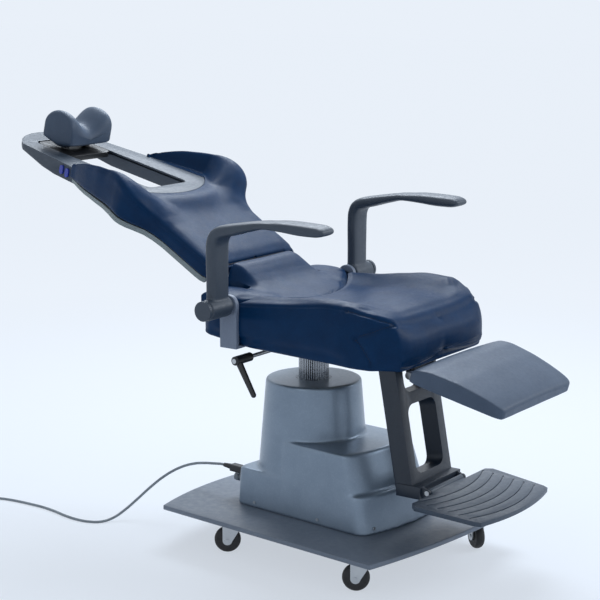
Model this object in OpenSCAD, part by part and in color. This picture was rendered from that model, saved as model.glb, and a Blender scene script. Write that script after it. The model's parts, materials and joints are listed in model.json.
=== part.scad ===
// Ophthalmic examination chair on a wheeled base, in millimetres, with +X to the front and +Z up.
// The floor is at z = 0. The lift column's axis stands column_x in front of the origin.

/* [Base] */
// Distance of the lift column in front of the origin
column_x = 145; // [60:1:220]
// Angle of the wheeled base under the chair, about the column
base_turn = -6.4; // [-30:0.1:30]
// Width of the base plate
plate_w = 572; // [500:1:700]
// Thickness of the base plate
plate_t = 12; // [8:1:20]
// Height of the base plate's underside
plate_z = 86; // [80:1:110]
// Length of the plate behind the column, at its corners
plate_rear = 255; // [220:1:320]
// Length of the plate in front of the column, at its corners
plate_front = 418; // [380:1:520]
// Bulge of the plate's rear edge
rear_bow = 50; // [20:1:80]
// Bulge of the plate's front edge
front_bow = 20; // [8:1:60]
// Diameter of a castor wheel
wheel_d = 66; // [50:1:70]
// Width of a castor wheel
wheel_w = 22; // [16:1:28]
// Distance of a wheel's axle from its swivel axis
trail = 20; // [10:1:28]
// Rear swivel axes behind the column
castor_rear = 70; // [40:1:160]
// Front swivel axes in front of the column
castor_front = 345; // [280:1:380]
// Distance between the left and right swivel axes
castor_span = 430; // [340:1:480]

/* [Housing] */
// Height of the housing's top above the floor
housing_z = 420; // [380:1:450]
// Radius of the housing's top
cone_r = 120; // [100:1:140]
// Spread of the round tower's wall for each millimetre down
cone_spread = 0.0823; // [0.03:0.001:0.12]
// Wall of the housing
wall = 4; // [2.5:0.5:6]
// Height of the housing's rear shoulder
shoulder_z = 192; // [160:1:220]
// Height of the housing's middle shelf
shelf_z = 283; // [250:1:320]
// Length of the housing behind the column
housing_rear = 136; // [128:1:160]
// Length of the housing in front of the column
housing_front = 281; // [260:1:300]

/* [Lift] */
// Radius of the lift ram
ram_r = 38; // [32:0.5:42]
// Height of the ram's top
ram_z = 482; // [470:1:500]
// Travel of the lift
stroke = 200; // [120:5:220]
// Radius of the swivel spigot
spigot_r = 20; // [15:0.5:24]

/* [Seat] */
// Half of the seat's width
seat_half = 245; // [220:1:270]
// Length of the seat behind the column
seat_rear = 170; // [150:1:190]
// Length of the seat in front of the column
seat_front = 373; // [340:1:400]
// Height of the seat's side edge at its highest
seat_z = 673; // [660:1:690]
// Depth of the hollow in the middle of the seat
scoop = 26; // [10:1:35]
// Height of the seat frame's underside
frame_z = 540; // [535:1:548]
// Height of the seat frame's tubes
rail_h = 16; // [12:1:20]
// Height of the raised rear pad
saddle_z = 710; // [690:1:715]

/* [Back] */
// Slope of the lower back above the horizontal, as photographed
low_slope = 32.2; // [20:0.1:45]
// Slope of the headrest track above the horizontal
track_slope = 13.5; // [5:0.1:20]
// Length of the lower back up to the bend
low_back = 287; // [260:1:320]
// Thickness of the lower back
back_t = 58; // [50:1:66]
// Half of the back's width at its lower end
back_half = 180; // [160:1:195]
// Half of the width across the shoulder wings
wing_half = 243; // [200:1:255]
// Height of the wings' crests above the middle
wing_h = 60; // [20:1:75]
// Height of the light rear shell's edge
shell_h = 14; // [10:1:18]

/* [Headrest] */
// Length of the track from the bend to its tip
track_l = 509; // [460:1:540]
// Half of the track's width near the bend
track_wide = 178; // [150:1:190]
// Half of the track's width near its tip
track_narrow = 128; // [110:1:140]
// Depth of the track's rails
track_t = 40; // [30:1:46]
// Half of the slot's width
slot_half = 80; // [60:1:90]
// Length of the headrest along the track
head_l = 106; // [80:1:140]
// Width of the headrest
head_w = 164; // [140:1:200]
// Height of the headrest's lobes above the track
head_h = 105; // [80:1:130]

/* [Armrests] */
// Height of the armrests' pivots
arm_pivot_z = 638; // [610:1:650]
// Distance of the pivots behind the column
arm_pivot_x = 70; // [60:1:80]
// Width of an armrest
arm_w = 67; // [50:1:80]
// Distance from the seat's side to an armrest's middle
arm_out = 56; // [53:0.5:75]
// Height of an armrest's crest above the floor
arm_z = 862; // [830:1:900]
// Radius of the pivot barrel
barrel_r = 25; // [18:0.5:30]

/* [Leg rest] */
// Half of the leg frame's width
leg_half = 93; // [80:1:110]
// Height of the leg frame's lower end
leg_z = 190; // [175:1:210]
// Lean of the leg frame's posts
leg_lean = 10.4; // [0:0.1:15]
// Half of the footplate's width at its hinge
foot_half = 188; // [150:1:200]
// Length of the footplate
foot_l = 200; // [150:1:240]
// Half of the calf pad's width at its rear
calf_half = 198; // [160:1:210]
// Length of the calf pad
calf_l = 243; // [200:1:280]
// Slope of the calf pad
calf_slope = 15.5; // [0:0.1:30]

/* [Power cord] */
// Diameter of the power cord
cord_d = 7; // [6:0.5:8]
// Loops in each layer of the coil
coil_loops = 2; // [1.5:0.5:4]
// Diameter across the middle of the coil's turns
coil_d = 80; // [70:1:90]

/* [Hidden] */
$fn = 64;
over = 1;
run = 0.05;
gap = 0.4;
slide_gap = 0.5;

// Colours as seen
navy = [0.10, 0.17, 0.30];
pad_grey = [0.36, 0.41, 0.47];
shell_grey = [0.37, 0.42, 0.48];
arm_grey = [0.30, 0.34, 0.38];
plate_grey = [0.34, 0.39, 0.45];
dark_grey = [0.15, 0.18, 0.22];
light_grey = [0.55, 0.58, 0.58];
zinc = [0.72, 0.73, 0.74];
black = [0.06, 0.06, 0.07];
cord_grey = [0.50, 0.53, 0.56];
blue = [0.08, 0.16, 0.62];

// Base: places worked out from the sizes above
plate_top = plate_z + plate_t;
plate_half = plate_w / 2;
castor_y = castor_span / 2;
axle_z = wheel_d / 2;
mount_t = 3;
mount_w = 62;
mount_l = 74;
race_r = 22;
race_t = 4;
fork_t = 3;
fork_gap = 2;
fork_r = 12;
fork_bridge_z = wheel_d + fork_gap;
axle_r = 4;
tread_h = 5;

// Housing: the blocks around the round tower, and how their walls lean
block_half = 149;
block_spread = 0.085;
front_spread = 0.25;
shelf_front = 213;
shelf_spread = 0.32;
block_bow = 22;
block_cut = 14;
opening_r = 46;
ledge_z = 189;
screw_r = 4;
screw_t = 2;
screw_z = plate_top + 14;
front_screw_y = 110;
screw_x = housing_front - front_spread * (screw_z - plate_top) - over
    + block_bow * (1 - pow(front_screw_y / block_half, 2));

// Lift: the stack from the actuator out to the guide tube
ram_wall = 8;
bush_t = 5;
bush_h = 26;
tube_t = 5;
tube_z = 404;
flange_r = 84;
flange_t = 8;
flange_bolts = 6;
bolt_r = 5;
bolt_head_t = 5;
key_w = 12;
key_out = 4;
actuator_r = 22;
actuator_head_r = 27;
actuator_head_h = 46;
actuator_top = 380;
rod_r = 10;
rod_low = 158;
ram_low = 150;
ram_plug = 12;
seal_t = 4;
box_l = 40;
box_w = 150;
box_h = 74;

// Swivel: head of the ram, bearing, hub and clamp
head_r = 46;
head_t = 8;
bearing_t = 3;
bearing_r = 42;
hub_r = 33;
hub_flange_r = 72;
hub_flange_t = 8;
clamp_x = -40;
clamp_z = 507;
clamp_ear = 12;
clamp_slit = 3;
clamp_half = 24;
shaft_r = 5;
nut_r = 9;
nut_t = 8;
lever_in = 214;
lever_out = 278;
lever_hub_r = 11;
lever_y = 262;
lever_l = 92;
lever_lean = 30;
grip_r = 6.5;
grip_root_r = 8.5;
cap_r = 6;
cap_t = 4;

// Seat: outline, edge heights and the parts under it
seat_n = 14;
seat_low = 516;
skirt = 20;
board_t = 8;
board_z = frame_z + rail_h;
pocket_z = board_z + board_t + gap;
pocket_front = 20;
board_gap = 2;
corner_l = 83;
corner_w = 55;
hollow_from = 0.45;
hollow_to = 0.45;
edge_roll = 8;
pinch = 5;
saddle_gap = 4;
saddle_roll = 0.12;
tongue_half = 118;
tongue_fall = 34;
rail_rear = 146;
rail_front = 292;
arm_foot = 50;
recess_z = 628;
arm_slot_y = 150;
arm_slot_t = 10;
arm_slot_gap = 3;
shell_reach = 14;
arm_slot_x = -90;
seam_mid = 45;
seam_side = -70;
rail_y = 150;
rail_w = 40;
cross_w = 50;
cross_front_x = 232;
cross_front_w = 66;

// Back: frame, bend and hinge
bend_r = 300;
bend = low_slope - track_slope;
bend_tangent = bend_r * tan(bend / 2);
arc_start = low_back - bend_tangent;
arc_l = bend_r * bend * PI / 180;
back_x = -187;
back_z = 712;
hinge_depth = back_t / 2;
hinge_r = 19;
hinge_wall = 5;
hinge_pin_r = 8;
hinge_bush = 24;
hinge_side_gap = 2;
hinge_head_r = 16;
arm_neck = 24;
back_rail_y = 112;
back_rail_w = 30;
back_rail_t = 8;
back_rail_l = 325;
bar_h = 40;
bar_from = 8;
shell_floor = 5;
shell_rim = 12;
shell_inset = 4;
cushion_l = 525;
wing_from = 0.42;
wing_rise = 0.46;
crown = 2;

// Headrest track: outline arcs, slot and carriage
tip_r = 152;
end_r = 218;
end_bow = 26;
track_near = 68;
track_tip = 71;
track_far = track_l - track_tip;
track_gap = 1.5;
slot_low = -32;
slot_end = 65;
slot_high = -(track_l - slot_end);
slot_round = 20;
carriage_l = 132;
carriage_back = 203;
carriage_low = -(track_l - carriage_back);
carriage_t = 15;
lip_w = 12;
lip_t = 4;
lip_z = 5;
tilt_back = 63;
tilt_x = carriage_low - tilt_back;
tilt_z = 14;
tilt_r = 5;
tilt_ear_r = 9;
tilt_ear_w = 14;
tilt_ear_y = 40;
head_low = 24;
head_plate_l = 70;
head_plate_w = 60;
head_plate_t = 4;
valley = 39;
lobe_at = 0.85;
button_w = 13;
button_l = 24;
button_out = 4;
button_stem = 9;
button_press = 3;
button_past = [34, 12];
button_x = [for (k = button_past) -(cushion_l - low_back) - k];
button_drop = [18, 20];

// Armrests: the post, the arm and the pivot
tip_x = 248;
arm_t = 28;
arm_round = 9;
cap_l = 8;
cap_round = 1;
collar_r = 14;
pin_r = 8;
bracket_t = 12;
bracket_w = 50;
bracket_cut = 12;
bracket_y = seat_half + gap + bracket_t / 2 + 4;
flange_in = 120;
barrel_proud = 16;
arm_y = seat_half + arm_out;
barrel_in = arm_y - arm_w / 2;
barrel_out = arm_y + arm_w / 2 + barrel_proud;

// Leg rest: posts, openings, hinge and pad
post_d = 47;
post_w = 30;
leg_rear = 306;
foot_ledge = 66;
ledge_h = 30;
ledge_half = 96;
lower_open_z = 42;
lower_open_h = 168;
upper_open_z = 240;
upper_open_h = 70;
open_r = 24;
leg_top_t = 8;
foot_x = 386;
foot_hinge_z = 206;
foot_knuckle_r = 8;
foot_pin_r = 4;
foot_ear_y = 82;
foot_x_in = 12;
foot_rise = 2;
foot_round = 15;
knuckle_half = 76;
ear_t = 7;
foot_t = 11;
foot_slope = 5;
foot_bow = 20;
foot_taper = 17;
groove_w = 3;
groove_d = 2;
grooves = 6;
groove_r = 420;
groove_out = 6;
groove_half = 160;
calf_hinge_x = 315;
calf_hinge_z = 478;
calf_pin_r = 5;
calf_ear_r = 11;
calf_ear_y = 44;
calf_ear_w = 40;
cheek_y = 54;
cheek_t = 5;
cheek_h = 34;
cheek_l = 128;
cheek_slot = 9;
calf_n = 12;
calf_t = 46;
calf_thin = 32;
calf_dome = 9;
calf_rear = 78;
calf_ahead = 12;
calf_low = 44;

// Power cord: where it leaves the base, its route over the floor, in the chair's own frame, and the coil
inlet_y = -105;
inlet_z = 172;
inlet_w = 28;
inlet_h = 20;
inlet_t = 6;
plug_body = 42;
plug_w = 24;
plug_h = 18;
plug_round = 4;
plug_out = housing_rear + inlet_t + plug_body;
relief_l = 30;
relief_r = 5;
relief_wide = 8;
cord_out = plug_out + relief_l;
socket_y = -92;
socket_z = 146;
socket_r = 8;
socket_l = 46;
socket_cap_r = 11;
socket_cap_l = 12;
cord_sides = 8;
cord_r = cord_d / 2;
cord_floor = cord_r;
tie_w = 12;
tie_t = 1.5;
tie_slack = 0.5;
tie_turn = -45;
layer_gap = 0.8;
coil_low = cord_r + tie_t + tie_slack;
cord_points = [[-120, -75, 167], [-155, -70, 161], [-195, -66, 151],
    [-235, -70, 135], [-272, -86, 111], [-302, -110, 81], [-325, -140, 50], [-342, -172, 25], [-356, -203, 9],
    [-372, -232, cord_floor], [-398, -250, cord_floor], [-434, -255, cord_floor], [-480, -250, cord_floor],
    [-530, -238, cord_floor], [-580, -230, cord_floor], [-630, -229, cord_floor], [-680, -231, cord_floor],
    [-715, -236, cord_floor], [-740, -242, cord_floor], [-760, -245, (cord_floor + coil_low) / 2]];
cord_end = [-780, -246, coil_low];
cord_steps = 2;
coil_gap = 1.8;
coil_rings = 24;
coil_sides = 6;
coil_climb = 90;
tail_l = 52;
tail_steps = 4;
mains_w = 36;
mains_l = 44;
prong_r = 2.4;
prong_l = 19;
prong_gap = 19;

// Places of the parts, and rods across the chair
module at_column() { translate([column_x, 0, 0]) children(); }
module on_base() { at_column() rotate([0, 0, base_turn]) children(); }
module both_sides() {
    children();
    mirror([0, 1, 0]) children();
}
module across(r, l) { rotate([90, 0, 0]) cylinder(r = r, h = l, center = true); }
module block(low, high) { translate(low) cube(high - low); }
function arc(c, r, from, to, n) =
    [for (i = [0:n]) let (a = from + (to - from) * i / n) [c[0] + r * cos(a), c[1] + r * sin(a)]];
function smooth(t) = t <= 0 ? 0 : t >= 1 ? 1 : t * t * (3 - 2 * t);
// A flat outline in X and Z, as thick as w, centred across the chair
module side_plate(outline, w) { rotate([90, 0, 0]) linear_extrude(w, center = true) polygon(outline); }

// Closed skin through a stack of convex rings of equal count, right-handed about the stacking direction
function middle(ring) = [for (k = [0:2]) let (s = [for (p = ring) p[k]]) (max(s) + min(s)) / 2];
module skin(rings) {
    n = len(rings[0]);
    m = len(rings);
    polyhedron(points = [for (r = rings) each r, middle(rings[0]), middle(rings[m - 1])],
        faces = [for (k = [0:m - 2], i = [0:n - 1]) let (a = k * n + i, b = k * n + (i + 1) % n)
                each [[a, a + n, b + n], [a, b + n, b]],
            for (i = [0:n - 1]) [m * n, i, (i + 1) % n],
            for (i = [0:n - 1]) [m * n + 1, (m - 1) * n + (i + 1) % n, (m - 1) * n + i]]);
}

// Ring across a pad: the top from +half to -half, a drawn-in side, the underside back, and the other side.
// top(u) gives the height at the share u of the half width, and place(y, h) the point in space.
function pad_ring(half, top, low, pinch, n, place) = concat(
    [for (i = [0:n]) let (u = cos(180 * i / n)) place(u * half, top(u))],
    [place(-half + pinch, (top(-1) + low) / 2)],
    [for (i = [0:n]) let (u = -cos(180 * i / n)) place(u * (half - pinch / 2), low)],
    [place(half - pinch, (top(1) + low) / 2)]);
module pad(rings, n) {
    size = 2 * n + 4;
    m = len(rings);
    last = (m - 1) * size;
    polyhedron(points = [for (r = rings) each r],
        faces = [for (k = [0:m - 2], i = [0:size - 1]) let (a = k * size + i, b = k * size + (i + 1) % size)
                each [[a, a + size, b + size], [a, b + size, b]],
            for (i = [0:n - 1]) each [[i, i + 1, 2 * n + 1 - i], [i, 2 * n + 1 - i, 2 * n + 2 - i]],
            [n, n + 1, n + 2], [0, 2 * n + 2, 2 * n + 3],
            for (i = [0:n - 1]) each [[last + i, last + 2 * n + 1 - i, last + i + 1],
                [last + i, last + 2 * n + 2 - i, last + 2 * n + 1 - i]],
            [last + n, last + n + 2, last + n + 1], [last, last + 2 * n + 3, last + 2 * n + 2]]);
}

// Base plate: a rectangle whose short ends bulge
module plate_outline() {
    rear_r = (plate_half * plate_half + rear_bow * rear_bow) / (2 * rear_bow);
    front_r = (plate_half * plate_half + front_bow * front_bow) / (2 * front_bow);
    intersection() {
        translate([-plate_rear - rear_bow, -plate_w / 2])
            square([plate_rear + rear_bow + plate_front + front_bow, plate_w]);
        translate([rear_r - plate_rear - rear_bow, 0]) circle(r = rear_r, $fn = 180);
        translate([plate_front + front_bow - front_r, 0]) circle(r = front_r, $fn = 180);
    }
}
module base_plate() {
    color(plate_grey) on_base() translate([0, 0, plate_z]) linear_extrude(plate_t) plate_outline();
}

// Castors: mount plates fixed to the base plate, forks that swivel, wheels that spin
castor_at = [[-castor_rear, -castor_y], [-castor_rear, castor_y], [castor_front, -castor_y],
    [castor_front, castor_y]];
castor_turn = [41, 118, 34, 150];
module castor_plates() {
    color(zinc) on_base() for (p = castor_at) translate([p[0], p[1], plate_z - mount_t]) {
        translate([-mount_l / 2, -mount_w / 2, 0]) cube([mount_l, mount_w, mount_t]);
    }
}
// Place of one castor's parts: its swivel axis at the origin, its wheel trailing towards -X
module at_castor(i) {
    on_base() translate([castor_at[i][0], castor_at[i][1], 0]) rotate([0, 0, castor_turn[i]]) children();
}
module castor_fork(i) {
    race_z = plate_z - mount_t - race_t;
    inner = wheel_w / 2 + fork_gap;
    color(zinc) at_castor(i) {
        translate([0, 0, race_z]) cylinder(r = race_r, h = race_t - gap);
        block([-trail - fork_r, -inner - fork_t, fork_bridge_z], [fork_r + fork_t, inner + fork_t, race_z]);
        both_sides() translate([0, -inner - fork_t / 2, 0]) side_plate(concat(
            arc([-trail, axle_z], fork_r, 180, 350, 10),
            [[fork_r + fork_t, fork_bridge_z], [fork_r + fork_t, race_z], [-trail - fork_r, race_z]]),
            fork_t);
        translate([-trail, 0, axle_z]) across(axle_r, 2 * (inner + fork_t + fork_gap));
    }
}
module castor_wheel(i) {
    color(black) at_castor(i) translate([-trail, 0, axle_z]) rotate([90, 0, 0]) rotate_extrude()
        polygon(concat(
        [[axle_r + run, -wheel_w / 2], [axle_z - tread_h, -wheel_w / 2]],
        [for (a = [-80:20:80]) [axle_z - tread_h + tread_h * cos(a), (wheel_w / 2 - over) * sin(a)]],
        [[axle_z - tread_h, wheel_w / 2], [axle_r + run, wheel_w / 2]]));
}

// Housing: a round tower with a rear shoulder, a middle shelf and a low bowed nose
function block_ring(rear, front, half, bow, z, inset) = let (h = half - inset, c = block_cut, n = 6,
    r = -rear + inset, f = front - inset) concat(
    [[f - c, -h, z]],
    [for (i = [0:n]) let (y = (h - c) * (2 * i / n - 1)) [f + bow * (1 - pow(y / h, 2)), y, z]],
    [[f - c, h, z], [r + c, h, z], [r, h - c, z], [r, c - h, z], [r + c, -h, z]]);
function lean(half, z) = half - block_spread * (z - plate_top);
module housing_block(rear, front, spread, bow, low, top, inset) {
    skin([block_ring(rear, front, lean(block_half, low), bow, low, inset),
        block_ring(rear, front - spread * (top - low), lean(block_half, top), bow, top, inset)]);
}
module housing_form(inset, sink) {
    low = plate_top - sink;
    low_r = cone_r + cone_spread * (housing_z - low);
    translate([0, 0, low])
        cylinder(r1 = low_r - inset, r2 = cone_r - inset, h = housing_z - inset - low, $fn = 128);
    housing_block(housing_rear, shelf_front, 0, 0, low, shoulder_z - inset, inset);
    housing_block(0, shelf_front + shelf_spread * (shelf_z - low), shelf_spread, block_bow, low,
    shelf_z - inset,
        inset);
    housing_block(0, housing_front, front_spread, block_bow, low, ledge_z - inset, inset);
}
module base_housing() {
    color(shell_grey) on_base() difference() {
        housing_form(0, 0);
        housing_form(wall, over);
        cylinder(r = opening_r, h = housing_z + over);
    }
}
module housing_screws() {
    color(zinc) on_base() {
        both_sides() translate([screw_x, front_screw_y, screw_z]) rotate([0, 90, 0])
            cylinder(r = screw_r, h = screw_t + over);
        both_sides() for (x = [-housing_rear / 2, housing_front / 2])
            translate([x, lean(block_half, screw_z) + screw_t / 2, screw_z]) across(screw_r, screw_t);
    }
}

// Lift column: guide tube on the plate, keyed ram inside it, actuator in the middle
module column_tube() {
    inner = ram_r + bush_t;
    color(zinc) on_base() difference() {
        union() {
            translate([0, 0, plate_top]) cylinder(r = flange_r, h = flange_t);
            translate([0, 0, plate_top]) cylinder(r = inner + tube_t, h = tube_z - plate_top);
        }
        translate([0, 0, plate_top + flange_t]) cylinder(r = inner, h = tube_z);
        block([inner - over, -key_w / 2, ram_low - bush_h],
            [inner + tube_t + over, key_w / 2, tube_z - bush_h - key_out]);
    }
}
module column_bolts() {
    ring_r = (flange_r + ram_r + bush_t + tube_t) / 2;
    color(zinc) on_base() for (i = [0:flange_bolts - 1]) rotate([0, 0, 360 * i / flange_bolts])
        translate([ring_r, 0, plate_top + flange_t]) cylinder(r = bolt_r * 1.6, h = bolt_head_t, $fn = 6);
}
module column_seal() {
    color(black) on_base() translate([0, 0, housing_z - wall]) difference() {
        cylinder(r = opening_r, h = seal_t);
        translate([0, 0, -over]) cylinder(r = ram_r + gap, h = seal_t + 2 * over);
    }
}
module upper_bush() {
    color(dark_grey) on_base() translate([0, 0, tube_z - bush_h]) difference() {
        cylinder(r = ram_r + bush_t, h = bush_h);
        translate([0, 0, -over]) cylinder(r = ram_r + run, h = bush_h + 2 * over);
    }
}
module lift_actuator() {
    color(dark_grey) on_base() difference() {
        union() {
            translate([0, 0, plate_top + flange_t])
                cylinder(r = actuator_head_r, h = actuator_head_h - flange_t);
            translate([0, 0, plate_top + flange_t])
                cylinder(r = actuator_r, h = actuator_top - plate_top - flange_t);
        }
        translate([0, 0, rod_low - ram_plug]) cylinder(r = rod_r + run, h = actuator_top);
    }
}
module actuator_rod() {
    color(zinc) on_base() translate([0, 0, rod_low]) cylinder(r = rod_r, h = ram_z - ram_plug - rod_low);
}
module lift_ram() {
    color(zinc) on_base() {
        difference() {
            translate([0, 0, ram_low]) cylinder(r = ram_r, h = ram_z - ram_low, $fn = 96);
            translate([0, 0, ram_low - over])
                cylinder(r = ram_r - ram_wall, h = ram_z - ram_plug - ram_low + over);
        }
        translate([0, 0, ram_z]) cylinder(r = head_r, h = head_t);
        translate([0, 0, ram_z]) cylinder(r = spigot_r, h = frame_z - hub_flange_t - ram_z);
    }
}
module keyed_bush() {
    foot = 24;
    color(dark_grey) on_base() difference() {
        union() {
            translate([0, 0, ram_low - foot]) cylinder(r = ram_r + bush_t - run, h = foot);
            block([ram_r, -key_w / 2 + slide_gap, ram_low - foot / 2],
                [ram_r + bush_t + key_out, key_w / 2 - slide_gap, ram_low]);
        }
        translate([0, 0, ram_low - foot - over]) cylinder(r = ram_r - ram_wall, h = foot + 2 * over);
    }
}
module thrust_bearing() {
    color(zinc) on_base() translate([0, 0, ram_z + head_t]) difference() {
        cylinder(r = bearing_r, h = bearing_t);
        translate([0, 0, -over]) cylinder(r = spigot_r + over, h = bearing_t + 2 * over);
    }
}
module control_box() {
    color(dark_grey) on_base() block([-housing_rear + 2 * wall, -box_w / 2, plate_top],
        [-housing_rear + 2 * wall + box_l, box_w / 2, plate_top + box_h]);
}
module power_inlet() {
    color(black) on_base() block([-housing_rear - inlet_t, inlet_y - inlet_w / 2, inlet_z - inlet_h / 2],
        [-housing_rear, inlet_y + inlet_w / 2, inlet_z + inlet_h / 2]);
}
module accessory_socket() {
    color(light_grey) on_base() translate([-housing_rear, socket_y, socket_z]) rotate([0, -90, 0]) {
        cylinder(r = socket_r, h = socket_l);
        translate([0, 0, socket_l - socket_cap_l]) cylinder(r = socket_cap_r, h = socket_cap_l);
    }
}

// Power cord: a connector in the base, a tube over the floor, a tied coil and a mains plug
module bar_along(from, l, w, h, r) {
    translate(from) rotate([90, 0, 90]) linear_extrude(l) polygon(rounded(w, h, r));
}
function rounded(w, h, r) = concat(arc([w / 2 - r, h / 2 - r], r, 0, 90, 6),
    arc([r - w / 2, h / 2 - r], r, 90, 180, 6),
    arc([r - w / 2, r - h / 2], r, 180, 270, 6), arc([w / 2 - r, r - h / 2], r, 270, 360, 6));
module cord_connector() {
    color(black) on_base() bar_along([-plug_out, inlet_y, inlet_z], plug_body, plug_w, plug_h, plug_round);
}
module strain_relief() {
    color(black) on_base() translate([-plug_out, inlet_y, inlet_z]) rotate([0, -90, 0])
        cylinder(r1 = relief_wide, r2 = relief_r, h = relief_l);
}
function turned(x, y, z) = [column_x + x * cos(base_turn) - y * sin(base_turn),
    x * sin(base_turn) + y * cos(base_turn), z];
function unit(v) = v / norm(v);
function heading(p, i) = unit(p[min(i + 1, len(p) - 1)] - p[max(i - 1, 0)]);
function spline(p, i, t) = let (n = len(p) - 1, a = p[max(i - 1, 0)], b = p[i], c = p[i + 1],
    d = p[min(i + 2, n)])
    (2 * b + (c - a) * t + (2 * a - 5 * b + 4 * c - d) * t * t + (3 * b - a - 3 * c + d) * t * t * t) / 2;
function curve(p, steps) = [for (i = [0:len(p) - 2], k = [0:steps - 1]) spline(p, i, k / steps),
    p[len(p) - 1]];
function tube(p, r, sides) = [for (i = [0:len(p) - 1])
    let (d = heading(p, i), s = unit(cross([0, 0, 1], d)), u = cross(d, s))
    [for (k = [0:sides - 1]) p[i] + r * (cos(360 * k / sides) * s + sin(360 * k / sides) * u)]];
cord_path = concat([turned(-cord_out, inlet_y, inlet_z)],
    curve(concat([turned(-cord_out - cord_d, inlet_y, inlet_z)], cord_points, [cord_end + [cord_d, 0, 0]]),
    cord_steps),
    [cord_end]);
module power_cord() { color(cord_grey) skin(tube(cord_path, cord_r, cord_sides)); }

// Coil: in on the lower layer, up over coil_climb degrees, and out on the upper layer
coil_pitch = cord_d + coil_gap;
coil_out = (coil_d + coil_loops * coil_pitch) / 2;
coil_lift = 360 * coil_loops;
coil_turn = 720 * coil_loops;
coil_top = coil_lift + coil_climb;
coil_in = coil_out - coil_pitch * coil_top / 360;
coil_mid = [cord_end[0] - cord_d, cord_end[1] - coil_out];
function coil_point(a) = let (r = coil_in + coil_pitch * abs(coil_top - a) / 360)
    [coil_mid[0] - r * sin(a), coil_mid[1] + r * cos(a), coil_low + (cord_d + layer_gap)
    * smooth((a - coil_lift) / coil_climb)];
coil_path = concat([cord_end], [for (k = [0:coil_turn * coil_rings / 360]) coil_point(360 * k / coil_rings)],
    [for (k = [1:tail_steps]) coil_point(coil_turn) - [k * tail_l / tail_steps, 0, 0]]);
coil_end = coil_path[len(coil_path) - 1];
module cord_coil() {
    n = len(coil_path);
    echo(smallest_gap_in_coil = min([for (i = [0:n - 1]) for (j = [i + coil_rings / 2:1:n - 1])
        norm(coil_path[i] - coil_path[j]) - cord_d]));
    color(cord_grey) skin(tube(coil_path, cord_r, coil_sides));
}
module coil_tie() {
    high = coil_low + cord_d + layer_gap + cord_r + tie_slack;
    color(black) translate([coil_mid[0], coil_mid[1], 0]) rotate([0, 0, tie_turn]) difference() {
        block([coil_in - cord_r - tie_t, -tie_w / 2, 0], [coil_out + tie_t, tie_w / 2, high + tie_t]);
        block([coil_in - cord_r, -tie_w, tie_t], [coil_out, tie_w, high]);
    }
}
module mains_plug() {
    color(black) translate(coil_end) {
        bar_along([-mains_l, 0, 0], mains_l, mains_w, 2 * coil_end[2], plug_round);
        both_sides() translate([-mains_l, prong_gap / 2, 0]) rotate([0, -90, 0])
            cylinder(r = prong_r, h = prong_l);
    }
}

// Swivel: a split hub on the ram's spigot, and a shaft with a lever that pinches it
module swivel_hub() {
    low = ram_z + head_t + bearing_t + run;
    color(zinc) at_column() difference() {
        union() {
            translate([0, 0, low]) cylinder(r = hub_r, h = frame_z - low);
            translate([0, 0, frame_z - hub_flange_t]) cylinder(r = hub_flange_r, h = hub_flange_t);
            block([clamp_x - clamp_ear, -clamp_half, clamp_z - clamp_ear],
                [-spigot_r, clamp_half, clamp_z + clamp_ear]);
        }
        translate([0, 0, low - over]) cylinder(r = spigot_r + run, h = frame_z);
        block([clamp_x - clamp_ear - over, -clamp_slit / 2, low - over], [-spigot_r + over, clamp_slit / 2,
            frame_z - hub_flange_t]);
        translate([clamp_x, 0, clamp_z]) across(shaft_r + run, 2 * clamp_half + 2 * over);
    }
}
module at_clamp(y) { at_column() translate([clamp_x, y, clamp_z]) children(); }
module clamp_shaft() {
    color(zinc) {
        at_clamp((clamp_half + nut_t - lever_out + cap_t) / 2)
            across(shaft_r, clamp_half + nut_t + lever_out - cap_t);
        at_clamp(clamp_half + gap + nut_t / 2) across(nut_r, nut_t);
    }
}
module clamp_lever() {
    hub_l = lever_out - cap_t - lever_in;
    color(black) {
        difference() {
            union() {
                at_clamp(-lever_in - hub_l / 2) across(lever_hub_r, hub_l);
                at_clamp(-lever_y) rotate([0, 180 - lever_lean, 0]) {
                    cylinder(r1 = grip_root_r, r2 = grip_r, h = lever_l);
                    translate([0, 0, lever_l]) sphere(r = grip_r);
                }
            }
            at_clamp(-lever_y) across(shaft_r + run, 2 * hub_l);
        }
    }
}
module lever_cap() { color(zinc) at_clamp(cap_t / 2 - lever_out) across(cap_r, cap_t); }

// Seat frame: two rails, three cross members and the parts that stand on it
module seat_frame() {
    color(dark_grey) at_column() {
        both_sides() block([-rail_rear, rail_y - rail_w / 2, frame_z],
            [rail_front, rail_y + rail_w / 2, board_z]);
        for (m = [[-rail_rear, cross_w - rail_rear], [-hub_flange_r, hub_flange_r],
            [cross_front_x - cross_front_w / 2, cross_front_x + cross_front_w / 2]])
            block([m[0], -rail_y, frame_z], [m[1], rail_y, board_z]);
    }
}
hinge_at = [back_x - hinge_depth * sin(low_slope), back_z - hinge_depth * cos(low_slope)];
module hinge_arms() {
    color(light_grey) at_column() difference() {
        both_sides() translate([0, arm_slot_y, 0])
            side_plate(concat([[-rail_rear, board_z], [arm_foot - rail_rear, board_z]],
            [[arm_foot - rail_rear, board_z + arm_neck]],
            arc(hinge_at, hinge_head_r, 25, 205, 16)), arm_slot_t);
        translate([hinge_at[0], 0, hinge_at[1]]) across(hinge_pin_r, 2 * arm_slot_y + 2 * arm_slot_t);
    }
}
module at_hinge() { at_column() translate([hinge_at[0], 0, hinge_at[1]]) children(); }
hinge_half = arm_slot_y - arm_slot_t / 2 - hinge_side_gap;
module recline_motor() {
    color(dark_grey) at_hinge() difference() {
        across(hinge_r - hinge_wall - slide_gap, 2 * (hinge_half - hinge_bush - hinge_side_gap));
        across(hinge_pin_r, 2 * arm_slot_y);
    }
}
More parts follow.
